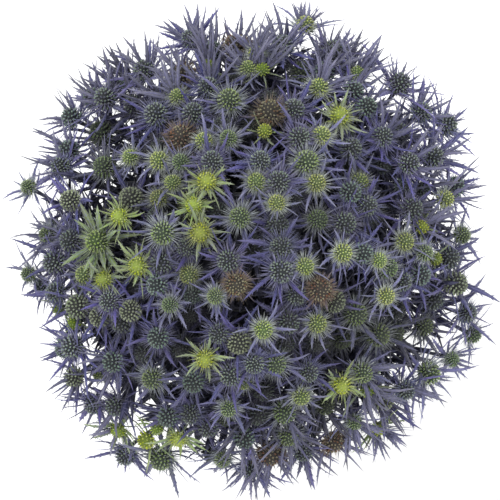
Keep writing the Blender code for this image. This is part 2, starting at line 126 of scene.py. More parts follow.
# The filling of the dome with heads
MOST_HEADS = 160
LEAST_SPACING = 12.4 * MM
FILL_RADIUS = 131 * MM
FILL_TRIES = 2600
YOUNG_SHARE = 0.15
HEAD_SIZES = (0.9, 1.1)
AXIS_JITTER = math.radians(13)
LANDMARK_DEPTHS = (0, 3 * MM)
LEADER_DEPTHS = (2 * MM, 10 * MM)
RIPE_DEPTHS = (0, 24 * MM)
YOUNG_DEPTHS = (0, 12 * MM)

# The bottle and its water
BOTTLE_RADIUS = 41 * MM
BOTTLE_HEIGHT = 210 * MM
BOTTLE_WALL = 3 * MM
BOTTLE_FLOOR = 5 * MM
BOTTLE_HEEL = 3 * MM
BOTTLE_SHOULDER = 118 * MM
NECK_START = 172 * MM
NECK_RADIUS = 21 * MM
LIP_RADIUS = 23.5 * MM
LIP_START = 200 * MM
WATER_LEVEL = 112 * MM
SEAT_GAP = 0.3 * MM

MERGE_DISTANCE = 0.01 * MM


@dataclass
class Kind:
    """The measures of one age of flower head."""

    cone_radius: float
    cone_height: float
    bracts: int
    bract_length: float
    bract_lift: float


KINDS = {
    "ripe": Kind(6.1 * MM, 13.0 * MM, 7, 22 * MM, math.radians(16)),
    "young": Kind(4.7 * MM, 9.5 * MM, 6, 17 * MM, math.radians(10)),
    "star": Kind(4.9 * MM, 8.5 * MM, 7, 21 * MM, math.radians(14)),
    "faded": Kind(6.9 * MM, 13.0 * MM, 6, 12 * MM, math.radians(8)),
}

# Heads that make the outline of the bunch or stand out by colour: kind, and place in plan in mm
LANDMARKS = (
    ("ripe", -65, 109), ("ripe", -89, 92), ("ripe", -116, 50), ("young", -138, 38),
    ("ripe", -109, 29), ("young", -124, 8), ("ripe", -120, -9), ("young", -137, -16),
    ("ripe", -105, -36), ("ripe", -108, -60), ("ripe", -108, -79), ("ripe", -97, -97),
    ("star", -82, -113), ("ripe", -77, -128), ("young", -64, -118), ("ripe", -55, -130),
    ("star", -44, -117), ("young", -17, -130), ("ripe", 0, -136), ("faded", 12, -128),
    ("ripe", 33, -126), ("faded", 51, -119), ("young", 64, -107), ("star", 79, -111),
    ("ripe", 95, -87), ("ripe", 110, -77), ("young", 125, -69), ("young", 139, -54),
    ("ripe", 134, -40), ("ripe", 127, -22), ("young", 106, -3), ("young", 131, 8),
    ("young", 119, 30), ("ripe", 112, 56), ("ripe", 121, 76), ("ripe", 106, 84),
    ("ripe", 92, 101), ("young", 66, 107), ("ripe", 51, 122), ("young", 34, 138),
    ("ripe", 20, 125), ("young", 4, 119), ("faded", -9, 126), ("ripe", -37, 129),
    ("star", -79, 19), ("ripe", -93, 4), ("star", -89, -19), ("star", -68, -11),
    ("star", -26, 40), ("star", -34, 26), ("star", -30, 9), ("faded", -42, 68),
    ("faded", 12, 83), ("faded", -42, 106), ("faded", 42, -25), ("faded", -8, -22),
    ("star", -27, -67), ("star", 56, -84), ("star", 54, 80),
    *(("young", x, y) for x, y in (
        (-44, 92), (-28, 65), (-13, 66), (-42, 52), (-55, 53), (43, 68), (42, 98), (4, 40),
        (40, 39), (16, 27), (33, -11), (56, -3), (-21, -29), (-48, -34), (8, -49), (31, -90),
        (-13, -98), (82, -29), (94, 4), (72, -87),
    )),
)


@dataclass
class Head:
    """A flower head and the branch that carries it. A twig's elder is the head it forks from."""

    kind: str
    plan: Vector
    stem: int
    reach: float
    axis: Vector
    twist: float
    size: float
    elder: object
    fork: float

    @property
    def radius(self):
        return KINDS[self.kind].cone_radius * self.size

    @property
    def height(self):
        return KINDS[self.kind].cone_height * self.size


def facing(plan):
    """The direction in which the dome faces at a place in plan."""
    share = min(plan.length / DOME_RIM_RADIUS, MOST_SHARE)
    lean = RIM_LEAN * share**LEAN_POWER
    outward = plan.normalized()
    return Vector((*(outward * math.sin(lean)), math.cos(lean)))


def dome_point(plan):
    share = plan.length / DOME_RIM_RADIUS
    return Vector((*plan, DOME_TOP - DOME_DROP * share**DOME_DROP_POWER))


def flow(plan, t):
    """The point at t of the fibre that ends at this place on the dome."""
    neck = Vector((*(plan * NECK_SHARE), NECK_LEVEL))
    rise = Vector((*(plan * RISE_SHARE), NECK_LEVEL + RISE_HEIGHT))
    end = dome_point(plan)
    lead = end - facing(plan) * HEAD_LEAD
    u = 1 - t
    return neck * u**3 + rise * (3 * u * u * t) + lead * (3 * u * t * t) + end * t**3


def polar(radius, angle):
    return Vector((radius * math.cos(angle), radius * math.sin(angle)))


def round_point(radius, angle, height):
    return Vector((*polar(radius, angle), height))


def ray(angle, lift, length=1):
    """A step of this length towards an angle in plan, and a lift above it."""
    return round_point(math.cos(lift) * length, angle, math.sin(lift) * length)


# Each stem carries the heads round one place in plan, set out as the seeds of a sunflower are
CENTRES = [
    polar(STEM_SPREAD * math.sqrt((index + 0.5) / STEMS), GOLDEN_ANGLE * index)
    for index in range(STEMS)
]


def stem_points(index):
    """The middle line of a stem, from the bottle's floor through the neck to its end."""
    ground = Vector((*(CENTRES[index] * FOOT_SHARE), BOTTLE_FLOOR + SEAT_GAP))
    return [ground, *(flow(CENTRES[index], t) for t in STEM_STATIONS)]


def point_on(points, stations, t):
    """The point at t on the straight pieces between the points at the stations."""
    for a, b, low, high in zip(points, points[1:], stations, stations[1:]):
        if t <= high:
            return a.lerp(b, (t - low) / (high - low))
    return points[-1]


def on_stem(index, t):
    return point_on(stem_points(index)[1:], STEM_STATIONS, t)


def plan_at(head, t):
    """The place in plan of the fibre that the head's branch follows at t."""
    if t <= head.fork:
        return CENTRES[head.stem] if head.elder is None else plan_at(head.elder, t)
    return plan_at(head, head.fork).lerp(head.plan, (t - head.fork) / (head.reach - head.fork))


def head_base(head):
    return flow(head.plan, head.reach) - head.axis * (head.height / 2)


def branch_stations(head):
    """Where along the flow a branch bends. A twig is straight."""
    if head.elder is not None:
        return head.fork, head.reach
    return head.fork, head.fork + (head.reach - head.fork) * BRANCH_MIDDLE, head.reach


def branch_points(head):
    """The middle line of a branch, from the middle of what it grows from to its head."""
    if head.elder is None:
        start = on_stem(head.stem, head.fork)
    else:
        start = point_on(branch_points(head.elder), branch_stations(head.elder), head.fork)
    bends = [flow(plan_at(head, t), t) for t in branch_stations(head)[1:-1]]
    return [start, *bends, head_base(head)]


def segment_distances(start, end, starts, ends):
    """The distance from one straight piece to each of several."""
    along, theirs, offset = end - start, ends - starts, start - starts
    own_square, their_squares = along @ along, (theirs * theirs).sum(1)
    dots, own_offsets = theirs @ along, offset @ along
    their_offsets = (theirs * offset).sum(1)
    tiny = 1e-18
    spread = np.maximum(own_square * their_squares - dots * dots, tiny)
    s = np.clip((dots * their_offsets - own_offsets * their_squares) / spread, 0, 1)
    t = np.clip((dots * s + their_offsets) / np.maximum(their_squares, tiny), 0, 1)
    s = np.clip((dots * t - own_offsets) / own_square, 0, 1)
    apart = (start + s[:, None] * along) - (starts + t[:, None] * theirs)
    return np.sqrt((apart * apart).sum(1))


STEM, BRANCH, CONE, BRACT, LEAF = range(5)
NO_HEAD = -1


class Thicket:
    """Everything placed so far, as straight round pieces, to keep new pieces clear of it."""

    def __init__(self):
        self.starts, self.ends = np.empty((0, 3)), np.empty((0, 3))
        self.radii, self.roles, self.stems, self.heads = (np.empty(0) for _ in range(4))

    def add(self, pieces, role, stem, head=NO_HEAD):
        """Adds (start, end, radius) pieces of one stem and, unless they are none's, one head."""
        starts, ends, radii = zip(*pieces)
        self.starts = np.vstack([self.starts, *starts])
        self.ends = np.vstack([self.ends, *ends])
        self.radii = np.append(self.radii, radii)
        self.roles = np.append(self.roles, [role] * len(pieces))
        self.stems = np.append(self.stems, [stem] * len(pieces))
        self.heads = np.append(self.heads, [head] * len(pieces))

    def is_clear(self, pieces, skip):
        """Whether new pieces keep the gap to every piece that the mask doesn't skip."""
        keep = ~skip
        starts, ends, radii = self.starts[keep], self.ends[keep], self.radii[keep]
        for start, end, radius in pieces:
            gaps = segment_distances(np.array(start), np.array(end), starts, ends) - radii
            if gaps.min() < radius + PIECE_GAP:
                return False
        return True

    def misses_cones(self, root, tip, head):
        """Whether a slim bract or leaf keeps clear of every cone but its own head's."""
        skip = (self.roles != CONE) | (self.heads == head)
        return self.is_clear(blade_pieces(root, tip, SLIM_ROOM), skip)


def tube_pieces(points, radii):
    return list(zip(points, points[1:], radii))


def branch_pieces(head):
    points = branch_points(head)
    return tube_pieces(points, [BRANCH_RADIUS] * len(points))


def cone_pieces(head):
    """A cone as a round-ended piece that holds it all."""
    base = head_base(head)
    low, high = head.radius * CONE_ROOM[0], head.height - head.radius * CONE_ROOM[1]
    return [(base + head.axis * low, base + head.axis * high, head.radius)]


def blade_pieces(root, tip, room):
    """A bract or leaf as a wide inner piece and a slim outer one."""
    middle = root.lerp(tip, BLADE_SPLIT)
    return [(root, middle, room[0]), (middle, tip, room[1])]


def blade_poses(swings):
    """Ways to hold a bract or leaf, from the natural one to the shortest."""
    for share in BLADE_SHARES:
        for turn in BLADE_TURNS:
            for swing in swings:
                yield share, math.radians(turn), math.radians(swing)


def fits(head, thicket):
    """Whether a head and its branch keep clear of what is there, save what they grow from."""
    own_stem = (thicket.stems == head.stem) & (thicket.roles == STEM)
    own_branches = (thicket.stems == head.stem) & (thicket.roles == BRANCH)
    return thicket.is_clear(cone_pieces(head), own_stem) and thicket.is_clear(
        branch_pieces(head), own_stem | own_branches
    )


def find_elder(plan, stem, heads):
    """The nearest head of the same stem whose branch can carry a twig."""
    near = [
        h for h in heads
        if h.stem == stem and h.elder is None and (h.plan - plan).length < FORK_REACH
    ]
    return min(near, key=lambda h: (h.plan - plan).length) if near else None


def choose_fork(stem, elder, heads, rng):
    """Where a branch leaves what it grows from. A stem's first one goes on from its end."""
    if elder is not None:
        return rng.uniform(*TWIG_FORKS)
    if all(h.stem != stem for h in heads):
        return LEADER_FORK
    return rng.uniform(*SIDE_FORKS)


def grow_head(kind, plan, depth, heads, rng):
    stem = min(range(STEMS), key=lambda index: (CENTRES[index] - plan).length)
    elder = find_elder(plan, stem, heads)
    tilt = Matrix.Rotation(rng.uniform(0, AXIS_JITTER), 3, "X")
    turn = Matrix.Rotation(rng.uniform(0, math.tau), 3, "Z")
    axis = facing(plan).to_track_quat("Z", "Y") @ (turn @ tilt @ Vector((0, 0, 1)))
    return Head(
        kind=kind,
        plan=plan,
        stem=stem,
        reach=1 - depth / FLOW_LENGTH,
        axis=axis.normalized(),
        twist=rng.uniform(0, math.tau),
        size=rng.uniform(*HEAD_SIZES),
        elder=elder,
        fork=choose_fork(stem, elder, heads, rng),
    )


def wanted_heads(rng):
    """Kinds, places and depths below the dome, in the order in which they take their places."""
    for kind, x, y in LANDMARKS:
        yield kind, Vector((x, y)) * MM, rng.uniform(*LANDMARK_DEPTHS)
    for centre in CENTRES:
        yield "ripe", centre, rng.uniform(*LEADER_DEPTHS)
    for _ in range(FILL_TRIES):
        young = rng.random() < YOUNG_SHARE
        depth = rng.uniform(*(YOUNG_DEPTHS if young else RIPE_DEPTHS))
        place = polar(FILL_RADIUS * math.sqrt(rng.random()), rng.uniform(0, math.tau))
        yield "young" if young else "ripe", place, depth


def grow_bunch():
    """All the heads, and the thicket that they make with the stems and branches."""
    rng = random.Random(SEED)
    heads, thicket = [], Thicket()
    for index in range(STEMS):
        thicket.add(tube_pieces(stem_points(index), STEM_RADII), STEM, index)
    for kind, plan, depth in wanted_heads(rng):
        head = grow_head(kind, plan, depth, heads, rng)
        crowded = any((h.plan - plan).length < LEAST_SPACING for h in heads)
        if len(heads) < MOST_HEADS and not crowded and fits(head, thicket):
            thicket.add(branch_pieces(head), BRANCH, head.stem, len(heads))
            thicket.add(cone_pieces(head), CONE, head.stem, len(heads))
            heads.append(head)
    return heads, thicket


def place_leaf(root, angle, thicket, own):
    """The tip of a leaf bent clear of what is near it, with its pieces, or none."""
    for share, turn, swing in blade_poses(LEAF_SWINGS):
        ahead = ray(angle + swing, LEAF_LIFT + turn)
        tip = root + ahead * LEAF_LENGTH * share
        blade = blade_pieces(root + ahead * LEAF_ROOM[0], tip, LEAF_ROOM)
        if thicket.is_clear(blade, own):
            return tip, blade
    return None, []


def place_leaves(thicket):
    """The stem, root and tip of every leaf."""
    leaves = []
    for stem in range(STEMS):
        root = on_stem(stem, LEAF_STATION)
        own = (thicket.stems == stem) & (thicket.roles != CONE)
        pieces = []
        for index in range(LEAVES):
            angle = GOLDEN_ANGLE * stem + math.tau * index / LEAVES
            tip, blade = place_leaf(root, angle, thicket, own)
            if tip is not None:
                leaves.append((stem, root, tip))
                pieces += blade
        if pieces:
            thicket.add(pieces, LEAF, stem)
    return leaves


def head_matrix(head):
    turned = head.axis.to_track_quat("Z", "Y").to_matrix() @ Matrix.Rotation(head.twist, 3, "Z")
    return Matrix.Translation(head_base(head)) @ turned.to_4x4()


def bract_root(head, angle, level=0.5):
    """The root of a bract in its head's own frame, at a level as a share of the collar's."""
    radius = head.radius * COLLAR[0] * BRACT_ROOT
    return round_point(radius, angle, head.height * COLLAR[1] * level)


def bract_roots(head):
    """The angle and root of each of a head's main bracts."""
    count = KINDS[head.kind].bracts
    for index in range(count):
        angle = math.tau * (index + 0.5) / count
        yield angle, bract_root(head, angle)


def bract_length(head):
    """The length of a head's bracts, which grow longer towards the rim."""
    share = min(head.plan.length / DOME_RIM_RADIUS, 1)
    gain = 1 + RIM_BRACT_GAIN * share**RIM_BRACT_POWER
    return KINDS[head.kind].bract_length * head.size * gain


def place_bracts(head, number, thicket, rng):
    """The tips of a head's bracts in its own frame, each bent clear of what is near it."""
    place, lift, own = head_matrix(head), KINDS[head.kind].bract_lift, thicket.heads == number
    tips, pieces = [], []
    for angle, root in bract_roots(head):
        spread = rng.uniform(1 - BRACT_LENGTH_SPREAD, 1 + BRACT_LENGTH_SPREAD)
        length = bract_length(head) * spread
        for share, turn, swing in blade_poses(BRACT_SWINGS):
            tip = root + ray(angle + swing, lift + turn, length * share)
            blade = blade_pieces(place @ root, place @ tip, BRACT_ROOM)
            if thicket.is_clear(blade, own):
                break
        else:
            tip = round_point(head.radius, angle, head.height * COLLAR[1])
            blade = blade_pieces(place @ root, place @ tip, BRACT_ROOM)
        pieces += blade
        tips.append(tip)
    thicket.add(pieces, BRACT, head.stem, number)
    return tips


# The photograph: 500 pixels square, taken from straight above, at a scale of 0.6 mm to the pixel
PIXELS = 500
MIDDLE_PIXEL = (250, 248)
PIXEL_SIZE = 0.6 * MM
SCALE_LEVEL = 360 * MM
CAMERA_HEIGHT = 3.4
CAMERA_SHIFT = -1.2 * MM
SENSOR = 36.0

UP = Vector((0, 0, 1))
Z_TO_X = Matrix(((0, 0, 1, 0), (0, 1, 0, 0), (-1, 0, 0, 0), (0, 0, 0, 1)))
NUDGE = 0.25


def paint(*values):
    """A linear colour from the usual 0 to 255 numbers."""
    shares = (value / 255 for value in values)
    return tuple(s / 12.92 if s <= 0.04 else ((s + 0.055) / 1.055) ** 2.4 for s in shares)


def mixed(a, b, share):
    return tuple(x + (y - x) * min(max(share, 0), 1) for x, y in zip(a, b))


def fade(colours, rate=1):
    """Paint that goes from the first colour to the second along a shape."""
    low, high = (paint(*colour) for colour in colours)
    return lambda blade: mixed(low, high, blade.x * rate)


def nudge(rng):
    return Vector([rng.uniform(-NUDGE, NUDGE) for _ in range(3)])


def turned_to(start, ahead, up, scale):
    """A frame at start with X ahead and Z as near up as may be."""
    x = ahead.normalized()
    y = up.cross(x)
    y = y.normalized() if y.length > 1e-6 else x.orthogonal().normalized()
    turn = Matrix((x, y, x.cross(y))).transposed().to_4x4()
    return Matrix.Translation(start) @ turn @ Matrix.Diagonal((*scale, 1))


def mesh_from(name, bm):
    made = bpy.data.meshes.new(name)
    bm.to_mesh(made)
    bm.free()
    return made


class Bed:
    """A piece under way: shapes stamped into one mesh, each with a tone of its own."""

    def __init__(self):
        self.bm, self.tones = bmesh.new(), []

    def stamp(self, shape, place, tone=None):
        first = len(self.bm.verts)
        self.bm.from_mesh(shape)
        self.bm.verts.ensure_lookup_table()
        fresh = self.bm.verts[first:]
        bmesh.ops.transform(self.bm, matrix=place, verts=fresh)
        self.tones += [tone] * len(fresh)

    def mesh(self, name, layer_name="tone"):
        made = mesh_from(name, self.bm)
        layer = made.attributes.new(layer_name, "FLOAT_VECTOR", "POINT")
        layer.data.foreach_set("vector", np.array(self.tones, np.float32).ravel())
        made.shade_smooth()
        return made


def put(name, data):
    """Adds an object to the scene."""
    made = bpy.data.objects.new(name, data)
    bpy.context.scene.collection.objects.link(made)
    return made


def show(mesh, material, node):
    """Makes a mesh a piece of the object, in place of a node."""
    mesh.materials.append(material)
    piece = put(mesh.name, mesh)
    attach(piece, "root")
    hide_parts(node)


def shape_mesh(name, bm, colour_at, blade_at):
    """Keeps a small shape to stamp, with a tint and a place on the blade at each corner."""
    tint = bm.verts.layers.float_color.new("tint")
    place = bm.verts.layers.float_vector.new("blade")
    for vert in bm.verts:
        blade = blade_at(vert.co)
        vert[place] = blade
        vert[tint] = (*colour_at(blade), 1)
    return mesh_from(name, bm)


def add_spike(bm, start, end, width):
    """A thin closed spike between two points."""
    along = end - start
    turn = along.to_track_quat("Z", "Y").to_matrix().to_4x4()
    bmesh.ops.create_cone(
        bm, cap_ends=True, segments=3, radius1=width, radius2=0, depth=along.length,
        matrix=Matrix.Translation(start + along / 2) @ turn,
    )


def add_tube(bm, sides, rings):
    """A straight tube of one unit, along X from 0 to 1, with a number of rings between its ends."""
    bmesh.ops.create_cone(
        bm, cap_ends=True, segments=sides, radius1=1, radius2=1, depth=1,
        matrix=Matrix.Translation((0.5, 0, 0)) @ Z_TO_X,
    )
    long_edges = [e for e in bm.edges if abs(e.verts[0].co.x - e.verts[1].co.x) > 0.5]
    bmesh.ops.subdivide_edges(bm, edges=long_edges, cuts=rings)


# Blades, in shares of their own measures: their outline, and the places, sizes and lean of teeth
# and lobes
ROOT_WIDTH = 0.42
RISE_POWER, TIP_POWER = 1.5, 0.75
LEAST_WIDTH = 0.2
MERGE_SHARE = 0.001
TOOTH_START, TOOTH_SPAN = 0.14, 0.7
TOOTH_PLACES = (0.2, 0.8)
TOOTH_SIZES = (0.7, 1.25)
TOOTH_LEAN = (0.9, 1.6)
TOOTH_FIRST, TOOTH_TAPER = 1.15, 0.6
TOOTH_RISE = 0.3
TOOTH_WIDTH = 0.3
TOOTH_ROOT = 0.7
LOBE_PAIRS = 5
LOBE_LENGTH = 0.36
LOBE_SPREAD = math.radians(52)
LOBE_RISE = 0.12
LOBE_START, LOBE_SPAN = 0.14, 0.62
LOBE_PLACES = (0.3, 0.7)
LOBE_SIZES = (0.85, 1.15)
LOBE_PHASE, LOBE_SWEEP = 0.25, 0.6


@dataclass
class Blade:
    """The form of a bract or a leaf, for a length of one."""

    half_width: float
    broadest: float
    teeth: int
    tooth: float
    arch: float
    sway: float
    ridge: float = 0.4
    rings: int = 5

    def half_width_at(self, x):
        """How wide it is at a place along it."""
        if x < self.broadest:
            rise = math.sin(x / self.broadest * math.pi / 2) ** RISE_POWER
            return self.half_width * (ROOT_WIDTH + (1 - ROOT_WIDTH) * rise)
        return self.half_width * max((1 - x) / (1 - self.broadest), 0) ** TIP_POWER

    def middle_at(self, x):
        """Its middle line, which arches and sways."""
        bend = math.sin(x * math.pi)
        return Vector((x, self.sway * bend, self.arch * bend))


def blade_shape(name, form, colour_at, rng):
    """A keeled blade with spiny teeth, along X from its root at 0 to its tip at 1."""
    bm = bmesh.new()
    add_tube(bm, 4, form.rings)
    for vert in bm.verts:
        x, y, z = vert.co
        wide = form.half_width_at(x)
        vert.co = form.middle_at(x) + Vector((0, y * wide, z * wide * form.ridge))
    bmesh.ops.remove_doubles(bm, verts=bm.verts, dist=MERGE_SHARE)
    for tooth in range(form.teeth):
        for side in (-1, 1):
            x = TOOTH_START + TOOTH_SPAN * (tooth + rng.uniform(*TOOTH_PLACES)) / form.teeth
            aside = side * form.half_width_at(x) * TOOTH_ROOT
            root = form.middle_at(x) + Vector((0, aside, 0))
            reach = form.tooth * rng.uniform(*TOOTH_SIZES) * (TOOTH_FIRST - TOOTH_TAPER * x)
            ahead = Vector((reach * rng.uniform(*TOOTH_LEAN), side * reach, reach * TOOTH_RISE))
            add_spike(bm, root, root + ahead, form.half_width * TOOTH_WIDTH)
    bmesh.ops.recalc_face_normals(bm, faces=bm.faces)

    def blade_at(co):
        x = min(max(co.x, 0), 1)
        wide = max(form.half_width_at(x), form.half_width * LEAST_WIDTH)
        return Vector((x, (co.y - form.middle_at(x).y) / wide, 0))

    return shape_mesh(name, bm, colour_at, blade_at)


def leaf_shape(name, colour_at, rng):
    """A stem leaf: a blade cut into pairs of spiny pointed lobes."""
    bed = Bed()
    bed.stamp(blade_shape(name, STEM_LEAF, colour_at, rng), Matrix())
    lobe = blade_shape(name, LEAF_LOBE, colour_at, rng)
    for pair in range(LOBE_PAIRS):
        for side in (-1, 1):
            x = LOBE_START + LOBE_SPAN * (pair + rng.uniform(*LOBE_PLACES)) / LOBE_PAIRS
            length = LOBE_LENGTH * math.sin((LOBE_PHASE + LOBE_SWEEP * x) * math.pi)
            length *= rng.uniform(*LOBE_SIZES)
            ahead = Vector((math.cos(LOBE_SPREAD), side * math.sin(LOBE_SPREAD), LOBE_RISE))
            bed.stamp(lobe, turned_to(STEM_LEAF.middle_at(x), ahead, UP, [length] * 3))
    return mesh_from(name, bed.bm)


# Florets, spines and the egg-shaped body that carries them, as shares of a cone's radius
EGG_MIDDLE = 0.4
EGG_SCALE = (0.9, 0.9, 0.96, 1)
KNOB_FOOT, KNOB_RIM, KNOB_DIP = 0.5, 0.42, 0.22
KNOB_RAISE = 0.2
KNOB_STRETCH = 1.35
KNOB_GROWTH = 0.35
KNOB_SIZES = (0.88, 1.12)
KNOB_SINK = 0.95
KNOB_TILT = 0.3
ODD_SHARE = 0.35
SPINE_WIDTH = 0.048
SPINE_SHORT, SPINE_GAIN = 0.32, 0.6
SPINE_SIZES = (0.7, 1.3)
SPINE_SINK, SPINE_HIDDEN = 0.9, 0.1
SPINE_TURN, SPINE_DROP = 0.12, 0.06
FRINGE_ROOT, FRINGE_HIDDEN = 0.8, 0.2
FRINGE_TURN = (-0.1, 0.1)
FRINGE_WIDTH = 1.2
FRINGE_SIZES = (0.8, 1.25)
FRINGE_LEVELS = (0.12, 0.62)
FRINGE_LIFT = (math.radians(-10), math.radians(40))


def knob_shape(name, cup):
    """A floret: a five-sided cup with a hollow in the middle."""
    low, high, dip = (paint(*colour) for colour in cup)
    bm = bmesh.new()
    bmesh.ops.create_cone(
        bm, cap_ends=True, segments=5, radius1=KNOB_FOOT, radius2=KNOB_RIM, depth=1,
        matrix=Matrix.Translation((0, 0, KNOB_RAISE)),
    )
    bm.normal_update()
    top = [face for face in bm.faces if face.normal.z > 0.9]
    bmesh.ops.poke(bm, faces=top, offset=-KNOB_DIP)
    return shape_mesh(
        name, bm,
        lambda blade: dip if blade.y < 0.1 else mixed(low, high, blade.x),
        lambda co: Vector((co.z + (0.5 - KNOB_RAISE), math.hypot(co.x, co.y), 1)),
    )


def spine_shape(name, look):
    """A bracteole: a thin spine along X."""
    bm = bmesh.new()
    add_spike(bm, Vector(), Vector((1, 0, 0)), SPINE_WIDTH)
    return shape_mesh(name, bm, fade(look.spines), lambda co: Vector((co.x, 0, 1)))


def egg_half(level):
    """The share of an egg's height on one side of its broadest level, which is 0."""
    return 1 - EGG_MIDDLE if level > 0 else EGG_MIDDLE


def egg_shape(name, look, tall):
    """The body under the florets, its broad end down."""
    bm = bmesh.new()
    bmesh.ops.create_uvsphere(bm, u_segments=10, v_segments=7, radius=1)
    for vert in bm.verts:
        vert.co.z = (EGG_MIDDLE + vert.co.z * egg_half(vert.co.z)) * tall
    return shape_mesh(name, bm, fade(look.body), lambda co: Vector((co.z / tall, 0, 1)))


def cone_shape(name, look, rng):
    """A cone of radius one with its florets set in a spiral, a spine beside each."""
    tall = KINDS[look.kind].cone_height / KINDS[look.kind].cone_radius
    spine, knob = spine_shape(name, look), knob_shape(name, look.cup)
    odd_knob = knob_shape(name, look.odd_cup or look.cup)
    bed = Bed()
    bed.stamp(egg_shape(name, look, tall), Matrix.Diagonal(EGG_SCALE), (0.5, 0.5, 0))
    for index in range(look.florets):
        level = 1 - (index + 0.5) / look.florets * (1 + look.down)
        angle = GOLDEN_ANGLE * index
        ring = math.sqrt(max(1 - level * level, 0))
        spot = round_point(ring, angle, (EGG_MIDDLE + level * egg_half(level)) * tall)
        out = round_point(ring, angle, level / (tall * egg_half(level))).normalized()
        shade = (rng.random(), rng.random(), 0)
        size = look.floret * (1 - KNOB_GROWTH + KNOB_GROWTH * math.sqrt(index / look.florets))
        size *= rng.uniform(*KNOB_SIZES)
        ahead, stretch = out + UP * KNOB_TILT, (size * KNOB_STRETCH, size, size)
        place = turned_to(spot * KNOB_SINK, ahead, UP, stretch)
        bed.stamp(odd_knob if shade[0] < ODD_SHARE else knob, place @ Z_TO_X, shade)
        reach = look.spine * (SPINE_SHORT + SPINE_GAIN * (1 - level) / 2)
        stretch = (reach * rng.uniform(*SPINE_SIZES) + SPINE_HIDDEN, 1, 1)
        root = round_point(ring, angle + SPINE_TURN, spot.z - SPINE_DROP) * SPINE_SINK
        bed.stamp(spine, turned_to(root, out + nudge(rng), UP, stretch), shade)
    for index in range(look.fringe):
        angle = GOLDEN_ANGLE * index + rng.uniform(*FRINGE_TURN)
        out = ray(angle, rng.uniform(*FRINGE_LIFT))
        root = round_point(FRINGE_ROOT, angle, tall * rng.uniform(*FRINGE_LEVELS))
        reach = (FRINGE_HIDDEN + look.spine) * rng.uniform(*FRINGE_SIZES)
        shade = (rng.random(), rng.random(), 1)
        bed.stamp(spine, turned_to(root, out, UP, (reach, FRINGE_WIDTH, FRINGE_WIDTH)), shade)
    return bed.mesh(name, "shade")


def smooth_path(points, before, after):
    """A curve through the points, which comes from before the first and leaves after the last."""
    line = [before, *points, after]
    path = [points[0]]
    for a, b, c, d in zip(line, line[1:], line[2:], line[3:]):
        for step in range(1, PATH_STEPS + 1):
            t = step / PATH_STEPS
            path.append(
                (b * 2 + (c - a) * t + (a * 2 - b * 5 + c * 4 - d) * t * t
                 + (b * 3 - a - c * 3 + d) * t**3) / 2
            )
    return path


def stalk_shape(name, path, radius_at, sides, colour_at):
    """A ridged stalk that follows a path."""
    bm = bmesh.new()
    last = len(path) - 1
    add_tube(bm, sides, last - 1)
    frames, side = [], (path[1] - path[0]).orthogonal()
    for index, point in enumerate(path):
        ahead = (path[min(index + 1, last)] - path[max(index - 1, 0)]).normalized()
        side = (side - side.dot(ahead) * ahead).normalized()
        frames.append((point, side, ahead.cross(side)))
    places = {}
    for vert in bm.verts:
        x, y, z = vert.co
        point, side, other = frames[round(x * last)]
        angle = math.atan2(z, y)
        radius = radius_at(x) * (1 - STALK_FLUTE * (round(angle / math.tau * sides) % 2))
        vert.co = point + (side * y + other * z) * radius
        places[vert] = Vector((x, angle / math.tau, 2))
    order = iter([places[vert] for vert in bm.verts])
    bmesh.ops.recalc_face_normals(bm, faces=bm.faces)
    return shape_mesh(name, bm, colour_at, lambda co: next(order))


# The forms of bracts and leaves
SLIM = Blade(0.034, 0.35, 1, 0.05, 0.05, 0.03)
LONG = Blade(0.052, 0.42, 2, 0.07, -0.06, -0.03)
TOOTHED = Blade(0.066, 0.42, 4, 0.08, 0.06, 0.04)
BENT = Blade(0.050, 0.46, 3, 0.07, 0.09, -0.06)
BROAD = Blade(0.080, 0.44, 4, 0.08, 0.05, -0.03)
WIDE = Blade(0.11, 0.46, 3, 0.07, 0.08, -0.02)
SHORT = Blade(0.075, 0.30, 2, 0.05, -0.03, 0.02)
LOW = Blade(0.13, 0.42, 3, 0.11, 0.06, 0.03, 0.2, 3)
LOW_SLIM = Blade(0.075, 0.40, 3, 0.10, -0.05, -0.03, 0.3, 3)
PLAIN = Blade(0.10, 0.40, 1, 0.10, 0.06, 0.03, 0.2, 2)
STEM_LEAF = Blade(0.075, 0.4, 5, 0.03, 0.04, 0.02, 0.25, 6)
LEAF_LOBE = Blade(0.16, 0.3, 2, 0.09, 0.05, 0.03, 0.3, 3)

# Colours of blades at their root, middle and tip, and of stalks from low to high
DUSKY = ((30, 28, 70), (58, 55, 122), (124, 122, 188))
RIM_PAINT = ((54, 54, 74), (92, 92, 120), (152, 152, 174))
LIME = ((116, 142, 54), (152, 176, 80), (196, 212, 146))
FORK_LEAF_PAINT = ((42, 44, 68), (57, 59, 102), (98, 100, 154))
OLD_LEAF_PAINT = ((62, 54, 20), (98, 88, 34), (138, 126, 74))
STEM_LEAF_PAINT = ((74, 92, 96), (82, 98, 120), (132, 140, 166))
STEM_PAINT = ((92, 120, 74), (84, 96, 112))
BRANCH_PAINT = ((84, 96, 112), (72, 70, 122))


@dataclass
class Look:
    """The look of one age of head. Florets and spines are sized as shares of its radius.

    Some of the florets take the odd cup's paint, where there is one.
    """

    kind: str
    florets: int
    floret: float
    fringe: int
    body: tuple
    cup: tuple
    spines: tuple
    bracts: tuple
    bract_paint: tuple = DUSKY
    odd_cup: tuple = None
    down: float = 0.5
    spine: float = 1.2
    extra_bracts: int = 6
    extra_share: float = 0.8


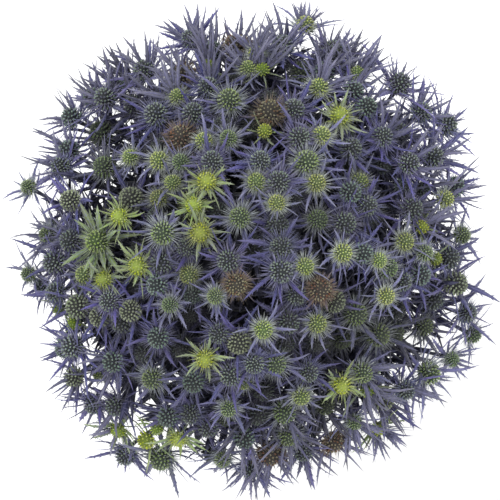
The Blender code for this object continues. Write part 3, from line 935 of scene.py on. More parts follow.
LOOKS = {
    "ripe": Look(
        "ripe", florets=96, floret=0.215, fringe=88,
        body=((20, 22, 38), (26, 34, 38)),
        cup=((44, 54, 60), (158, 174, 156), (74, 86, 80)),
        odd_cup=((44, 48, 66), (142, 148, 166), (70, 74, 92)),
        spines=((84, 82, 134), (172, 172, 216)),
        bracts=(LONG, TOOTHED, BENT, LONG, SLIM, BROAD),
    ),
    "deep": Look(
        "ripe", florets=66, floret=0.25, fringe=56, down=0.4, extra_bracts=5,
        body=((20, 22, 38), (26, 36, 40)),
        cup=((42, 56, 62), (150, 174, 158), (66, 88, 80)),
        spines=((84, 82, 134), (172, 172, 216)),
        bracts=(LONG, TOOTHED, BENT, SLIM),
    ),
    "bare": Look(
        "ripe", florets=84, floret=0.25, fringe=36, spine=0.8, extra_bracts=5,
        body=((26, 28, 30), (36, 40, 34)),
        cup=((56, 66, 54), (174, 186, 152), (90, 100, 76)),
        spines=((92, 90, 112), (160, 158, 176)),
        bracts=(LONG, TOOTHED, BENT, SLIM),
    ),
    "unripe": Look(
        "ripe", florets=92, floret=0.215, fringe=92,
        body=((40, 52, 44), (48, 64, 44)),
        cup=((60, 84, 58), (166, 188, 126), (88, 114, 70)),
        spines=((128, 136, 152), (212, 218, 222)),
        bracts=(LONG, SLIM, BENT, TOOTHED),
        bract_paint=((48, 50, 82), (88, 90, 134), (158, 160, 194)),
    ),
    "pale": Look(
        "ripe", florets=88, floret=0.22, fringe=60, extra_bracts=9, extra_share=0.9,
        body=((50, 68, 30), (60, 80, 32)),
        cup=((84, 108, 50), (176, 194, 110), (112, 136, 62)),
        spines=((140, 156, 116), (210, 218, 186)),
        bracts=(WIDE, BROAD, TOOTHED),
        bract_paint=((76, 100, 30), (122, 148, 58), (176, 196, 122)),
    ),
    "young": Look(
        "young", florets=76, floret=0.24, fringe=100, spine=1.1,
        body=((58, 72, 46), (80, 98, 52)),
        cup=((90, 112, 62), (202, 214, 132), (128, 150, 78)),
        spines=((144, 156, 142), (222, 228, 224)),
        bracts=(SLIM, LONG, BENT),
        bract_paint=((70, 74, 102), (104, 108, 148), (178, 180, 206)),
    ),
    "bud": Look(
        "young", florets=48, floret=0.24, fringe=16, down=0.4, spine=0.6, extra_bracts=0,
        body=((70, 88, 22), (104, 124, 26)),
        cup=((112, 132, 44), (196, 210, 78), (140, 158, 48)),
        spines=((130, 150, 60), (190, 204, 130)),
        bracts=(SLIM, LONG), bract_paint=LIME,
    ),
    "star": Look(
        "star", florets=60, floret=0.22, fringe=44, spine=1.35, extra_bracts=10, extra_share=0.6,
        body=((98, 112, 44), (142, 160, 62)),
        cup=((132, 152, 56), (208, 218, 92), (160, 176, 62)),
        spines=((158, 176, 92), (212, 222, 156)),
        bracts=(LONG, SLIM, TOOTHED), bract_paint=LIME,
    ),
    "faded": Look(
        "faded", florets=96, floret=0.19, fringe=110, down=0.7, spine=0.9, extra_bracts=4,
        body=((38, 31, 27), (46, 40, 32)),
        cup=((66, 62, 48), (164, 156, 122), (84, 78, 56)),
        odd_cup=((82, 56, 42), (158, 118, 88), (76, 54, 44)),
        spines=((88, 70, 60), (160, 140, 118)),
        bracts=(SHORT, SLIM),
        bract_paint=((70, 64, 82), (98, 88, 104), (140, 126, 128)),
    ),
}

# Heads whose look differs from their kind's, by their place in plan in mm
LOOK_AT = {
    (-93, 4): "pale", (-64, -118): "bud", (72, -87): "bud",
    **dict.fromkeys((
        (-138, 38), (-124, 8), (-137, -16), (-17, -130), (64, -107), (125, -69), (139, -54),
        (106, -3), (131, 8), (-13, 66), (-42, 52), (-21, -29), (-48, -34), (-13, -98),
    ), "unripe"),
    **dict.fromkeys(((-105, -36), (-109, 29), (-108, -79), (127, -22)), "bare"),
}
UNRIPE_SHARE, BARE_SHARE = 0.16, 0.21
CONE_VARIANTS = 3
STAR_REACH = 0.78
FADED_SIZE = 0.93

# Stalks: their ridges and sides, how a branch swells and flares, how its curve starts and ends,
# and how fast a stem's paint fades and how dark a stem is
STALK_FLUTE = 0.14
BRANCH_SWELL, BRANCH_FLARE = 1.05, 1.7
FLARE_START, FLARE_SPAN = 0.8, 0.2
BRANCH_LEAD, HEAD_LAG = 0.12, 24 * MM
STEM_SIDES, BRANCH_SIDES = 10, 6
STEM_FADE, STEM_SHADE = 1.3, 0.2
FOOT_STEPS, PATH_STEPS = 5, 4

# Spiny leaves that stand round each fork and bend of a branch, and in whorls up each stem. The
# free share of a leaf or bract, next to its root, may touch a cone.
FORK_LEAVES = 4
FORK_LEAF_LENGTH = (16 * MM, 30 * MM)
FORK_STATIONS = (0.04, 0.3, 0.56, 0.8)
WHORL_LEAVES = 5
WHORL_LENGTH = (30 * MM, 46 * MM)
WHORL_STATIONS = (0.26, 0.4, 0.56)
WHORL_OPEN = (math.radians(46), math.radians(88))
WHORL_TURN = (-0.2, 0.2)
WHORL_STEP = 0.03
WHORL_FLATTEN = 0.5
WHORL_FREE = 0.05
RIM_LEAVES = 3
RIM_LEAF_GAIN = 0.35
# The most painted shade that a leaf on a stem gets
STEM_LEAF_SHADE = 0.55

# Bracts that spread outward round the rim
RIM_FAN = 6
RIM_FAN_START = 0.74
RIM_FAN_TURN = (math.radians(-58), math.radians(58))
RIM_FAN_LIFT = (math.radians(-8), math.radians(30))
RIM_FAN_REACH = (20 * MM, 34 * MM)
RIM_FAN_ROOT = 2 * MM
RIM_FAN_FREE = 0.3
RIM_LIMIT = 156 * MM
# Directions in degrees where the outline draws in, and where it is fuller, and how far each reaches
BAYS = (-2, 166, 190, 206, 246, 258, 346)
FULL_SIDES = (66, 84, 104, 120, 272, 304)
SIDE_REACH = 9
FULL_FAN = 12

# The painted shade inside the bunch, and how much less of it is painted where light reaches in at
# the rim and from below
HEAD_ROOM, DEEP = 4 * MM, 20 * MM
LOW_START, LOW_SPAN = 60 * MM, 40 * MM
RIM_LIGHT = 0.6
LOW_LIGHT = 0.6

# Heads that stand deeper, between the part's own
SMALL_HEADS = 74
SMALL_TRIES = 4000
SEEN_STEPS = 7
SEEN_SIZE, BUD_SIZE, SEEN_SHRINK = 0.95, 0.82, 0.25
# Those seen in the photograph: their look, and their place in its pixels, read off it
SEEN = (
    ("ripe", 69, 288), ("bud", 51, 311), ("bare", 95, 319), ("bare", 127, 313),
    ("unripe", 78, 325), ("bud", 67, 326), ("ripe", 57, 352), ("ripe", 108, 366),
    ("unripe", 149, 383), ("ripe", 155, 286), ("ripe", 156, 340), ("unripe", 215, 382),
    ("ripe", 192, 386), ("young", 243, 388), ("ripe", 165, 423), ("unripe", 223, 434),
    ("ripe", 243, 425), ("ripe", 244, 446), ("unripe", 276, 367), ("ripe", 306, 356),
    ("unripe", 336, 355), ("unripe", 366, 377), ("ripe", 318, 426), ("unripe", 290, 443),
    ("ripe", 373, 309), ("young", 375, 349), ("ripe", 399, 359), ("bare", 365, 160),
    ("ripe", 399, 154), ("ripe", 419, 180), ("ripe", 464, 184), ("bud", 428, 226),
    ("ripe", 365, 253), ("bud", 442, 259), ("unripe", 391, 268), ("ripe", 426, 276),
    ("ripe", 353, 191), ("ripe", 211, 43), ("young", 248, 62), ("bud", 263, 63),
    ("bud", 207, 59), ("young", 198, 54), ("ripe", 167, 76), ("unripe", 254, 111),
    ("unripe", 206, 123), ("bud", 265, 128), ("young", 275, 126), ("ripe", 86, 91),
    ("ripe", 108, 78), ("ripe", 61, 146), ("ripe", 371, 102), ("ripe", 397, 148),
    ("bud", 153, 436), ("bud", 148, 421), ("bud", 417, 309), ("ripe", 327, 65),
    ("ripe", 357, 85), ("ripe", 63, 111), ("bud", 180, 146), ("unripe", 385, 211),
)
SEEN_SPACING = 7.5 * MM
SMALL_SPACING = 9.5 * MM
SMALL_RADIUS = 140 * MM
SMALL_SIZES = (0.72, 0.92)
SMALL_RIM_POWER = 0.36
SMALL_DEPTHS = (10 * MM, 36 * MM)
SMALL_LOOKS = ("deep",) * 5 + ("unripe", "young")
SMALL_LIFT = (-0.3, 0.3)

# Shorter bracts: the shares of their length that are tried, and how they vary and stand
EXTRA_SHARES = (1.0, 0.8, 0.62, 0.45)
EXTRA_SIZES = (0.85, 1.1)
EXTRA_TURN = (0.75, 1.25)
EXTRA_LIFT = (-22, 26)
EXTRA_LEVEL = 0.2

# The length that sets a bract's width, and the pale edge of a blade
NOMINAL_BRACT = 21 * MM
EDGE_START, EDGE_MOST, EDGE_PALE = 0.45, 1.2, 0.45


def blade_paint(colours):
    """Paint for a blade: dark at its root, pale at its tip and along its edges."""
    low, middle, high = (paint(*colour) for colour in colours)

    def colour_at(blade):
        along, across = blade.x * 2, min(abs(blade.y), EDGE_MOST)
        base = mixed(low, middle, along) if along < 1 else mixed(middle, high, along - 1)
        return mixed(base, high, EDGE_PALE * max(across - EDGE_START, 0) / (1 - EDGE_START))

    return colour_at


def blade_place(root, tip, up, nominal=None):
    """The place of a blade from root to tip. With a nominal length, a short one stays wider."""
    ahead = tip - root
    wide = (ahead.length + (nominal or ahead.length)) / 2
    return turned_to(root, ahead, up, (ahead.length, wide, wide))


def depth_at(point, start=HEAD_ROOM, span=DEEP):
    """How deep a point lies under the dome, from 0 at the start to 1 a span below it."""
    plan = Vector(point[:2])
    drop = (dome_point(plan).z - point[2]) * facing(plan).z - start
    return min(max(drop / span, 0), 1)


def rim_share(plan):
    return min(plan.length / DOME_RIM_RADIUS, 1) ** 3


def shade_at(point):
    """How much painted shade a point gets for its depth and place."""
    below = depth_at(point, LOW_START, LOW_SPAN)
    rim = rim_share(Vector(point[:2]))
    return depth_at(point) * (1 - RIM_LIGHT * rim) * (1 - LOW_LIGHT * below)


def shortened_bract(head, number, root, angle, lift, lengths, thicket):
    """The first tip that keeps clear of other cones, or the last one, and whether it is clear."""
    place = head_matrix(head)
    for length in lengths:
        tip = root + ray(angle, lift, length)
        if thicket.misses_cones(place @ root, place @ tip, number):
            return tip, True
    return tip, False


def extra_bract_tips(head, number, look, thicket, rng):
    """Roots and tips of the shorter bracts between a head's main ones."""
    count = look.extra_bracts
    for index in range(count):
        angle = math.tau * (index + rng.uniform(*EXTRA_TURN)) / count
        root, length = bract_root(head, angle, EXTRA_LEVEL), bract_length(head) * look.extra_share
        lift = KINDS[head.kind].bract_lift + math.radians(rng.uniform(*EXTRA_LIFT))
        lengths = (length * share * rng.uniform(*EXTRA_SIZES) for share in EXTRA_SHARES)
        tip, clear = shortened_bract(head, number, root, angle, lift, lengths, thicket)
        if clear:
            yield root, tip


def rim_fan(head, number, thicket, rng):
    """Roots and tips of bracts that spread outward from a head near the rim."""
    rim, outward = head.plan.length / DOME_RIM_RADIUS, math.atan2(*head.plan.yx)
    in_bay, in_full = (
        any(abs((math.degrees(outward) - side + 180) % 360 - 180) < SIDE_REACH for side in sides)
        for sides in (BAYS, FULL_SIDES)
    )
    count = FULL_FAN if in_full else 0 if in_bay else RIM_FAN
    for _ in range(count if rim > RIM_FAN_START else 0):
        ahead = ray(outward + rng.uniform(*RIM_FAN_TURN), rng.uniform(*RIM_FAN_LIFT))
        steps = (RIM_FAN_ROOT, rng.uniform(*RIM_FAN_REACH))
        root, tip = (head_base(head) + ahead * step for step in steps)
        tip = root.lerp(tip, min(1, (RIM_LIMIT - root.xy.length) / (tip - root).xy.length))
        if thicket.misses_cones(root.lerp(tip, RIM_FAN_FREE), tip, number):
            yield root, tip


def whorl(root, ahead, count, length, number, thicket, rng):
    """The tips of leaves that stand round a stalk at its root, spread nearly level."""
    side, start = ahead.orthogonal().normalized(), rng.uniform(0, math.tau)
    for leaf in range(count):
        around = start + math.tau * (leaf + rng.uniform(*WHORL_TURN)) / count
        turn = Matrix.Rotation(around, 3, ahead)
        angle = rng.uniform(*WHORL_OPEN)
        out = ahead * math.cos(angle) + (turn @ side) * math.sin(angle)
        out.z *= WHORL_FLATTEN
        tip = root + out.normalized() * rng.uniform(*length)
        if thicket.misses_cones(root.lerp(tip, WHORL_FREE), tip, number):
            yield tip


def branch_path(head):
    """The curve of a branch, which leaves what it grows from and comes in under its head."""
    points = branch_points(head)
    before = flow(plan_at(head, head.fork), head.fork - BRANCH_LEAD)
    return smooth_path(points, before, points[-1] + head.axis * HEAD_LAG)


def fork_leaves(head, number, thicket, rng):
    """Roots, tips and upward sides of the leaves round a branch, more of them near the rim."""
    path, rim = branch_path(head), rim_share(head.plan)
    length = [value * (1 + RIM_LEAF_GAIN * rim) for value in FORK_LEAF_LENGTH]
    for station in FORK_STATIONS:
        step = int(station * (len(path) - 2))
        root, ahead = path[step], (path[step + 1] - path[step]).normalized()
        count = FORK_LEAVES + round(RIM_LEAVES * rim)
        for tip in whorl(root, ahead, count, length, number, thicket, rng):
            yield root, tip, ahead


def stem_leaves(index, leaves, thicket, rng):
    """Forms, roots and tips of the leaves in whorls up a stem, and then of the part's own."""
    for station in WHORL_STATIONS:
        root = on_stem(index, station)
        ahead = (on_stem(index, station + WHORL_STEP) - root).normalized()
        for tip in whorl(root, ahead, WHORL_LEAVES, WHORL_LENGTH, NO_HEAD, thicket, rng):
            yield "fork", root, tip
    for stem, root, tip in leaves:
        if stem == index:
            yield "stem", root, tip


def stamp_head(cones, blades, number, grown, thicket, shapes, rng):
    """A head: its cone, and its main and extra bracts."""
    head, name, tips = grown[number]
    place, stretch = head_matrix(head), STAR_REACH if head.kind == "star" else 1
    # The tone's last number is the painted shade at the head, which its bracts share
    tone = (rng.random(), rng.random(), shade_at(place.translation))
    cone = rng.choice(shapes["cones"][name])
    turn = Matrix.Rotation(rng.uniform(0, math.tau), 4, "Z")
    size = head.radius * (FADED_SIZE if head.kind == "faded" else 1)
    cones.stamp(cone, place @ turn @ Matrix.Diagonal((size, size, size, 1)), tone)
    near = [(root, root.lerp(tip, stretch)) for (_, root), tip in zip(bract_roots(head), tips)]
    near += extra_bract_tips(head, number, LOOKS[name], thicket, rng)
    ends = [(place @ root, place @ tip, name) for root, tip in near]
    ends += [(root, tip, "rim") for root, tip in rim_fan(head, number, thicket, rng)]
    for root, tip, form in ends:
        up = place.to_3x3() @ UP + nudge(rng)
        own = (tone[0], rng.random(), tone[2])
        bract = rng.choice(shapes["blades"][form])
        blades.stamp(bract, blade_place(root, tip, up, NOMINAL_BRACT), own)


def stamp_leaf(blades, form, place, shade, shapes, rng):
    # The tone's last number is the leaf's painted shade
    tone = (rng.random(), rng.random(), shade)
    blades.stamp(rng.choice(shapes["blades"][form]), place, tone)


def stem_radius(x):
    last = len(STEM_RADII) - 1
    low = min(int(x * last), last - 1)
    return STEM_RADII[low] + (STEM_RADII[low + 1] - STEM_RADII[low]) * (x * last - low)


def branch_radius(x):
    flare = (BRANCH_FLARE - BRANCH_SWELL) * max(x - FLARE_START, 0) / FLARE_SPAN
    return BRANCH_RADIUS * (BRANCH_SWELL + flare)


def stalks_of(index, heads):
    """A stem, straight through the bottle and then along the flow, with its branches."""
    stalks, rng = Bed(), random.Random(index)
    ground, *flight = stem_points(index)
    path = [ground.lerp(flight[0], step / FOOT_STEPS) for step in range(FOOT_STEPS)]
    path += smooth_path(flight, path[-1], flight[-1] * 2 - flight[-2])
    shape = stalk_shape("stem", path, stem_radius, STEM_SIDES, fade(STEM_PAINT, STEM_FADE))
    # The tone's last number is painted shade: a fixed share for the stem, and for a branch the
    # shade at its middle
    stalks.stamp(shape, Matrix(), (rng.random(), 0.5, STEM_SHADE))
    for head in heads:
        if head.stem == index:
            path = branch_path(head)
            shape = stalk_shape("branch", path, branch_radius, BRANCH_SIDES, fade(BRANCH_PAINT))
            stalks.stamp(shape, Matrix(), (rng.random(), 0.5, shade_at(path[len(path) // 2])))
    return stalks


def make_shapes():
    """The cones of each look, and the blades of each look and place, in a few forms."""
    rng = random.Random(SEED)
    cones = {
        name: [cone_shape(name, look, rng) for _ in range(CONE_VARIANTS)]
        for name, look in LOOKS.items()
    }
    sets = [
        *((name, look.bracts, look.bract_paint) for name, look in LOOKS.items()),
        ("rim", (LONG, TOOTHED, BENT, SLIM), RIM_PAINT),
        ("fork", (LOW, LOW_SLIM, LOW, LOW_SLIM, LOW, LOW_SLIM, LOW), FORK_LEAF_PAINT),
        ("fork", (LOW_SLIM,), OLD_LEAF_PAINT),
        ("plain", (PLAIN, PLAIN, PLAIN), FORK_LEAF_PAINT),
    ]
    blades = {name: [] for name, _, _ in sets}
    for name, forms, colours in sets:
        blades[name] += [blade_shape(name, form, blade_paint(colours), rng) for form in forms]
    blades["stem"] = [leaf_shape("stem", blade_paint(STEM_LEAF_PAINT), rng) for _ in range(3)]
    return {"cones": cones, "blades": blades}


def small_wishes(rng):
    """The look, place, depth, size and spacing of each small head that is tried."""
    for step in range(SEEN_STEPS):
        depth = SMALL_DEPTHS[0] / 2 + (SMALL_DEPTHS[1] - SMALL_DEPTHS[0]) * step / SEEN_STEPS
        scale = 1 - SEEN_SHRINK * step / SEEN_STEPS
        for name, column, row in SEEN:
            plan = Vector((column - MIDDLE_PIXEL[0], MIDDLE_PIXEL[1] - row)) * PIXEL_SIZE
            size = (BUD_SIZE if name == "bud" else SEEN_SIZE) * scale
            yield name, plan, depth, size, SEEN_SPACING
    for _ in range(SMALL_TRIES):
        name = rng.choice(SMALL_LOOKS)
        plan = polar(SMALL_RADIUS * rng.random() ** SMALL_RIM_POWER, rng.uniform(0, math.tau))
        yield name, plan, rng.uniform(*SMALL_DEPTHS), rng.uniform(*SMALL_SIZES), SMALL_SPACING


def add_small_heads(heads, thicket):
    """More heads in the gaps, deeper down, each with the name of its look."""
    rng = random.Random(SEED + 2)
    small = []
    for name, plan, depth, size, spacing in small_wishes(rng):
        head = grow_head(LOOKS[name].kind, plan, depth, heads, rng)
        head.size = size
        if len(small) == SMALL_HEADS:
            break
        if any((h.plan - plan).length < spacing for h in [*heads, *(s for s, _ in small)]):
            continue
        if thicket.is_clear(cone_pieces(head), (thicket.roles == BRACT) | (thicket.roles == LEAF)):
            thicket.add(cone_pieces(head), CONE, head.stem, len(heads) + len(small))
            small.append((head, name))
    return small


def look_of(head, rng):
    """The name of the look of one of the part's own heads."""
    place = tuple(round(value / MM) for value in head.plan)
    draw = rng.random()
    if place in LOOK_AT or head.kind != "ripe" or draw > BARE_SHARE:
        return LOOK_AT.get(place, head.kind)
    return "unripe" if draw < UNRIPE_SHARE else "bare"


def place_small_bracts(head, number, thicket, rng):
    """The tips of a small head's bracts, which only keep clear of other cones."""
    kind, tips = KINDS[head.kind], []
    for angle, root in bract_roots(head):
        lift = kind.bract_lift + rng.uniform(*SMALL_LIFT)
        lengths = (kind.bract_length * head.size * share for share in EXTRA_SHARES)
        tips.append(shortened_bract(head, number, root, angle, lift, lengths, thicket)[0])
    return tips


def make_sprays(materials):
    """The cones, blades and stalks of every spray."""
    heads, thicket = grow_bunch()
    leaves = place_leaves(thicket)
    rng = random.Random(SEED)
    bract_tips = [place_bracts(head, number, thicket, rng) for number, head in enumerate(heads)]
    grown = [(head, look_of(head, rng), tips) for head, tips in zip(heads, bract_tips)]
    for head, name in add_small_heads(heads, thicket):
        tips = place_small_bracts(head, len(grown), thicket, rng)
        grown.append((head, "deep" if name == "ripe" else name, tips))
    shapes, rng = make_shapes(), random.Random(SEED + 1)
    for index in range(STEMS):
        cones, blades = Bed(), Bed()
        for number, (head, *_) in enumerate(grown):
            if head.stem != index:
                continue
            stamp_head(cones, blades, number, grown, thicket, shapes, rng)
            for root, tip, up in fork_leaves(head, number, thicket, rng):
                form = "plain" if depth_at(root) == 1 else "fork"
                place = blade_place(root, tip, up, NOMINAL_BRACT)
                stamp_leaf(blades, form, place, shade_at(root), shapes, rng)
        for form, root, tip in stem_leaves(index, leaves, thicket, rng):
            # Leaves on a stem get painted shade, but no more than a set share
            shade = min(shade_at(tip), STEM_LEAF_SHADE)
            stamp_leaf(blades, form, blade_place(root, tip, UP), shade, shapes, rng)
        stalks, node = stalks_of(index, [head for head, *_ in grown]), f"spray_{index + 1:02d}"
        for part, bed in (("stalks", stalks), ("cones", cones), ("blades", blades)):
            show(bed.mesh(f"{node}_{part}"), materials[part], node)


# Colours of the fine detail that the materials paint over each piece, and of the painted shade that
# darkens what lies deep in the bunch
BLADE_SHADE = paint(146, 146, 182)
BLADE_BLOOM = paint(118, 116, 174)
BLADE_VEIN = paint(158, 158, 206)
CONE_DUST = paint(196, 200, 186)
STALK_STREAK = paint(120, 132, 140)
STALK_FRECKLE = paint(70, 50, 84)
# Painted shade: the dark colours that blades, cones and stalks are mixed towards deep under the
# dome, and the largest share of that mix
PAINTED_SHADE_DARK = paint(8, 8, 14)
PAINTED_STALK_SHADE = paint(14, 17, 18)
PAINTED_SHADE_MOST = 0.9
CLEAR_TINT = (0.96, 0.985, 0.98)
NOISE_ROUGHNESS = 0.55

# The visible bottle and water
ROUND_SIDES = 96
ARC_STEPS = 5
SHOULDER_STEPS = 20
PUNT_HEIGHT = 2 * MM
PUNT_RADIUS = 24 * MM
PUNT_SLOPE = 7 * MM
MENISCUS = 1.2 * MM
MENISCUS_WIDTH = 3 * MM

# The studio, with each lamp's name, place, size and power
FLOOR_SIZE = 4.0
FLOOR_GLOW = 0.36
FLOOR_GREYS = ((0.94, 0.94, 0.94), (0.98, 0.98, 0.98))
WORLD_STRENGTH = 0.55
LAMP_AIM = (0, 0, 0.3)
LAMPS = (
    ("soft_top", (-0.7, 0.9, 2.2), 1.2, 31.0),
    ("soft_side", (1.3, -0.9, 2.0), 1.4, 20.0),
)


class Finish:
    """A material under way, with short ways to add its nodes and link them."""

    def __init__(self, name):
        self.material = bpy.data.materials.new(name)
        self.material.use_nodes = True
        self.tree = self.material.node_tree
        self.shader = self.tree.nodes["Principled BSDF"]
        self.place = self.add("TexCoord", out="Object")

    def set(self, socket, value):
        """Gives a socket a value, or links another node's output to it."""
        if isinstance(value, bpy.types.NodeSocket):
            self.tree.links.new(value, socket)
        elif value is not None:
            socket.default_value = value

    def shader_set(self, **values):
        """Sets the shader's sockets: Base_Color=... sets its Base Color."""
        for name, value in values.items():
            self.set(self.shader.inputs[name.replace("_", " ")], value)

    def add(self, kind, *values, out=0, **settings):
        """Adds a node. Its first inputs take the values, and None leaves one as it is."""
        node = self.tree.nodes.new(f"ShaderNode{kind}")
        for setting, value in settings.items():
            setattr(node, setting, value)
        for socket, value in zip(node.inputs, values):
            self.set(socket, value)
        return node.outputs[out]

    def math(self, operation, *values):
        return self.add("Math", *values, operation=operation)

    def times(self, *values):
        return self.math("MULTIPLY", *values)

    def parts(self, name):
        """The three numbers of a stored vector."""
        vector = self.add("Attribute", out="Vector", attribute_name=name)
        return self.add("SeparateXYZ", vector).node.outputs

    def noise(self, scale, detail=3.0, place=None):
        place = self.place if place is None else place
        return self.add("TexNoise", place, None, scale, detail, NOISE_ROUGHNESS)

    def spread(self, value, low, high, to_low, to_high, kind="LINEAR"):
        """Turns a value between low and high into one between to_low and to_high."""
        return self.add("MapRange", value, low, high, to_low, to_high, interpolation_type=kind)

    def varied(self, tone, low, high):
        return self.spread(tone, 0, 1, low, high)

    def mix(self, share, a, b, blend="MIX"):
        node = self.tree.nodes.new("ShaderNodeMix")
        node.data_type, node.blend_type = "RGBA", blend
        for index, value in ((0, share), (6, a), (7, b)):
            self.set(node.inputs[index], (*value, 1) if isinstance(value, tuple) else value)
        return node.outputs[2]

    def tinted(self, hue, saturation, value, *coats):
        """The colour of each shape's own tint, varied, under coats of (share, paint, blend)."""
        tint = self.add("Attribute", out="Color", attribute_name="tint")
        colour = self.add("HueSaturation", hue, saturation, value, None, tint)
        for share, *coat in coats:
            colour = self.mix(share, colour, *coat)
        self.shader_set(Base_Color=colour)

    def bumped(self, height, distance):
        node = self.add("Bump", None, distance).node
        self.set(node.inputs["Height"], height)
        self.set(self.shader.inputs["Normal"], node.outputs[0])


def blade_finish():
    """Bracts and leaves: leathery, with a pale midrib, fine side veins and a waxy bloom, and
    painted shade that darkens them deep in the bunch.
    """
    finish = Finish("holly_blades")
    spread, varied, times = finish.spread, finish.varied, finish.times
    # The tone's last number is how much painted shade a place gets
    head_tone, own_tone, depth = finish.parts("tone")
    along, across, _ = finish.parts("blade")
    side = finish.math("ABSOLUTE", across)
    rib = spread(side, 0.04, 0.22, 1, 0, "SMOOTHSTEP")
    rim = spread(side, 0.72, 0.98, 0, 1, "SMOOTHSTEP")
    slant = finish.math("SUBTRACT", times(along, 9.0), side)
    wave = finish.math("SINE", times(slant, math.tau))
    vein = spread(wave, 0.55, 1, 0, 1, "SMOOTHSTEP")
    bloom, blotch = finish.noise(420.0), finish.noise(90.0, 2.0)
    finish.tinted(
        varied(own_tone, 0.488, 0.512), varied(head_tone, 0.8, 1.12),
        times(varied(own_tone, 0.78, 1.22), varied(head_tone, 0.86, 1.14)),
        (spread(blotch, 0.42, 0.7, 0, 0.45), BLADE_SHADE, "MULTIPLY"),
        (spread(bloom, 0.45, 0.75, 0, 0.4), BLADE_BLOOM),
        (times(vein, 0.22), BLADE_VEIN),
        (times(rib, 0.38), BLADE_VEIN),
        (times(rim, 0.3), BLADE_VEIN),
        # Painted shade, darker the deeper under the dome
        (varied(depth, 0, PAINTED_SHADE_MOST), PAINTED_SHADE_DARK),
    )
    rough = spread(bloom, 0.3, 0.7, 0.42, 0.68)
    finish.shader_set(Roughness=rough, Sheen_Weight=0.15, Sheen_Roughness=0.4)
    height = finish.math("ADD", times(vein, 0.5), rib)
    finish.bumped(finish.math("ADD", height, times(bloom, 0.6)), 0.15 * MM)
    return finish.material


def cone_finish():
    """Cones: matt florets that vary from one to the next, with dust between them, and painted shade
    that darkens them deep in the bunch.
    """
    finish = Finish("holly_cones")
    spread, varied = finish.spread, finish.varied
    # The tone's last number is how much painted shade a head gets
    head_tone, hue_tone, depth = finish.parts("tone")
    floret_tone, ripeness, _ = finish.parts("shade")
    grain = finish.noise(1500.0)
    finish.tinted(
        varied(hue_tone, 0.486, 0.514), varied(ripeness, 0.75, 1.2),
        finish.times(varied(floret_tone, 0.72, 1.25), varied(head_tone, 0.84, 1.16)),
        (spread(grain, 0.4, 0.7, 0, 0.4), CONE_DUST, "SOFT_LIGHT"),
        # Painted shade, darker the deeper under the dome
        (varied(depth, 0, PAINTED_SHADE_MOST), PAINTED_SHADE_DARK),
    )
    rough = spread(grain, 0.3, 0.7, 0.55, 0.85)
    finish.shader_set(Roughness=rough, Sheen_Weight=0.2, Sheen_Roughness=0.5)
    finish.bumped(grain, 0.12 * MM)
    return finish.material


def stalk_finish():
    """Stems and branches: long pale ridges and small freckles, and painted shade."""
    finish = Finish("holly_stalks")
    spread, varied = finish.spread, finish.varied
    # The tone's last number is how much painted shade a stalk gets
    tone, _, depth = finish.parts("tone")
    _, around, _ = finish.parts("blade")
    ridge = finish.math("SINE", finish.times(around, math.tau * STEM_SIDES))
    long_place = finish.add("Mapping", finish.place, None, None, (1, 1, 0.12))
    streak, freckle = finish.noise(700.0, place=long_place), finish.noise(1100.0)
    finish.tinted(
        0.5, varied(tone, 0.85, 1.15), varied(tone, 0.82, 1.18),
        (spread(streak, 0.45, 0.7, 0, 0.5), STALK_STREAK),
        (spread(freckle, 0.66, 0.74, 0, 0.7), STALK_FRECKLE),
        (spread(ridge, 0.2, 1, 0, 0.25), STALK_STREAK),
        # Painted shade, darker the deeper under the dome
        (varied(depth, 0, PAINTED_SHADE_MOST), PAINTED_STALK_SHADE),
    )
    finish.shader_set(Roughness=spread(streak, 0.3, 0.7, 0.38, 0.6))
    finish.bumped(finish.math("ADD", finish.times(ridge, 0.4), streak), 0.15 * MM)
    return finish.material


def see_through(name, tint, ior, ripple, depth, clear_share):
    """Glass or water: partly clear, and wholly so to a lamp's light on what stands behind it."""
    finish = Finish(name)
    wave, smear = finish.noise(ripple, 2.0), finish.noise(ripple * 6)
    finish.shader_set(
        Base_Color=finish.mix(finish.spread(wave, 0.3, 0.7, 0, 1), tint, CLEAR_TINT),
        Roughness=finish.spread(smear, 0.5, 0.75, 0, 0.08),
        IOR=ior, Transmission_Weight=1.0,
    )
    finish.bumped(wave, depth)
    in_shadow = finish.add("LightPath", out="Is Shadow Ray")
    share = finish.math("MAXIMUM", in_shadow, clear_share)
    clear = finish.add("BsdfTransparent", (*tint, 1))
    blend = finish.add("MixShader", share, finish.shader.outputs[0], clear)
    finish.set(finish.tree.nodes["Material Output"].inputs["Surface"], blend)
    return finish.material


def floor_finish():
    finish = Finish("floor")
    cloud = finish.noise(6.0, 2.0)
    finish.shader_set(
        Base_Color=finish.mix(cloud, *FLOOR_GREYS), Roughness=0.9,
        Emission_Color=(1, 1, 1, 1), Emission_Strength=FLOOR_GLOW,
    )
    return finish.material


def rounded(corners):
    """A profile through (radius, height, cut) corners, each cut back by so much to an arc."""
    points = []
    for index, (radius, height, cut) in enumerate(corners):
        here = Vector((radius, height))
        if not cut:
            points.append((radius, height))
            continue
        sides = [Vector(corners[index + step][:2]) - here for step in (-1, 1)]
        start, end = (here + side.normalized() * cut for side in sides)
        for step in range(ARC_STEPS + 1):
            t = step / ARC_STEPS
            points.append(tuple(start.lerp(here, t).lerp(here.lerp(end, t), t)))
    return points


def shoulder(low, high):
    """Points of a smooth shoulder between two (radius, height) points."""
    for step in range(SHOULDER_STEPS + 1):
        share = step / SHOULDER_STEPS
        ease = (1 - math.cos(math.pi * share)) / 2
        yield low[0] + (high[0] - low[0]) * ease, low[1] + (high[1] - low[1]) * share, 0


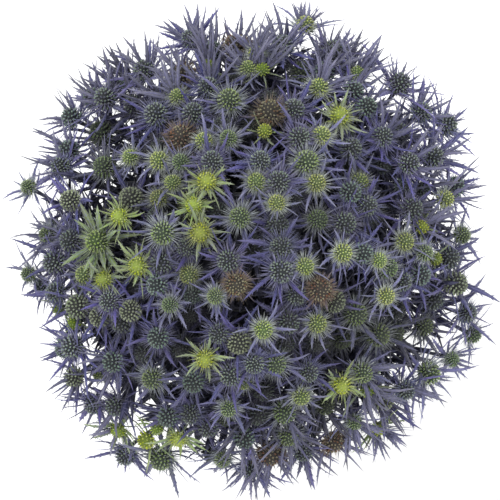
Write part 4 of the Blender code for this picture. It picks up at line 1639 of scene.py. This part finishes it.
def show_round(name, corners, material, node):
    """Makes what a rounded profile sweeps round the Z axis a piece of the object."""
    bm = bmesh.new()
    profile = [bm.verts.new((radius, 0, height)) for radius, height in rounded(corners)]
    edges = [bm.edges.new(pair) for pair in zip(profile, profile[1:])]
    bmesh.ops.spin(
        bm, geom=profile + edges, cent=(0, 0, 0), axis=(0, 0, 1), angle=math.tau,
        steps=ROUND_SIDES, use_merge=True,
    )
    bmesh.ops.remove_doubles(bm, verts=bm.verts, dist=MERGE_DISTANCE)
    bmesh.ops.recalc_face_normals(bm, faces=bm.faces)
    mesh = mesh_from(name, bm)
    mesh.shade_smooth()
    show(mesh, material, node)


def make_bottle():
    """A clear bottle with a hollow foot, a rounded heel and a rolled lip."""
    inner, inner_neck = BOTTLE_RADIUS - BOTTLE_WALL, NECK_RADIUS - BOTTLE_WALL
    corners = [
        (0, PUNT_HEIGHT, 0),
        (PUNT_RADIUS, PUNT_HEIGHT, 1.5 * MM),
        (PUNT_RADIUS + PUNT_SLOPE, 0, 1 * MM),
        (BOTTLE_RADIUS, 0, BOTTLE_HEEL),
        *shoulder((BOTTLE_RADIUS, BOTTLE_SHOULDER), (NECK_RADIUS, NECK_START)),
        (NECK_RADIUS, LIP_START - 1 * MM, 1 * MM),
        (LIP_RADIUS, LIP_START, 1 * MM),
        (LIP_RADIUS, BOTTLE_HEIGHT, 2 * MM),
        (inner_neck, BOTTLE_HEIGHT, 1.5 * MM),
        *shoulder((inner_neck, NECK_START), (inner, BOTTLE_SHOULDER)),
        (inner, BOTTLE_FLOOR, 4 * MM),
        (0, BOTTLE_FLOOR, 0),
    ]
    glass = see_through(
        "bottle_glass", (0.86, 0.95, 0.92), ior=1.5, ripple=30.0, depth=0.4 * MM, clear_share=0.2
    )
    show_round("glass_bottle", corners, glass, "bottle")


def make_water():
    """The water, which climbs a little up the glass at its edge."""
    radius, floor = BOTTLE_RADIUS - BOTTLE_WALL - SEAT_GAP, BOTTLE_FLOOR + SEAT_GAP
    corners = [(0, floor, 0), (radius, floor, 4 * MM), (radius, WATER_LEVEL + MENISCUS, 0)]
    for step in range(1, ARC_STEPS + 1):
        share = step / ARC_STEPS
        level = WATER_LEVEL + MENISCUS * (1 - share) ** 2
        corners.append((radius - share * MENISCUS_WIDTH, level, 0))
    corners.append((0, WATER_LEVEL, 0))
    water = see_through(
        "bottle_water", (0.9, 0.95, 0.94), ior=1.33, ripple=25.0, depth=0.3 * MM, clear_share=0.5
    )
    show_round("bottle_water", corners, water, "water")


def set_stage():
    """The floor, the soft square lamps that face the bunch, and the camera straight above."""
    bm = bmesh.new()
    bmesh.ops.create_grid(bm, x_segments=2, y_segments=2, size=FLOOR_SIZE)
    floor = put("floor", mesh_from("floor", bm))
    floor.data.materials.append(floor_finish())
    floor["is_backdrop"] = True
    for name, place, size, power in LAMPS:
        lamp = put(name, bpy.data.lights.new(name, "AREA"))
        lamp.data.size, lamp.data.energy, lamp.location = size, power, place
        lamp.rotation_euler = (Vector(LAMP_AIM) - Vector(place)).to_track_quat("-Z", "Y").to_euler()
    world = bpy.data.worlds.new("studio")
    world.use_nodes = True
    background = world.node_tree.nodes["Background"].inputs
    background["Color"].default_value = (1, 1, 1, 1)
    background["Strength"].default_value = WORLD_STRENGTH
    scene = bpy.context.scene
    scene.world = world
    scene.view_settings.view_transform = "Standard"
    camera = put("camera", bpy.data.cameras.new("camera"))
    camera.location = (0, CAMERA_SHIFT, CAMERA_HEIGHT)
    camera.data.sensor_width = SENSOR
    camera.data.lens = SENSOR * (CAMERA_HEIGHT - SCALE_LEVEL) / (PIXELS * PIXEL_SIZE)
    camera.data.clip_end = 20
    scene.camera = camera


make_bottle()
make_water()
make_sprays({"cones": cone_finish(), "blades": blade_finish(), "stalks": stalk_finish()})
set_stage()
boxes = {"cad": CAD_BOX, "visual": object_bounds()}
{name: [list(corner) for corner in box] for name, box in boxes.items()}
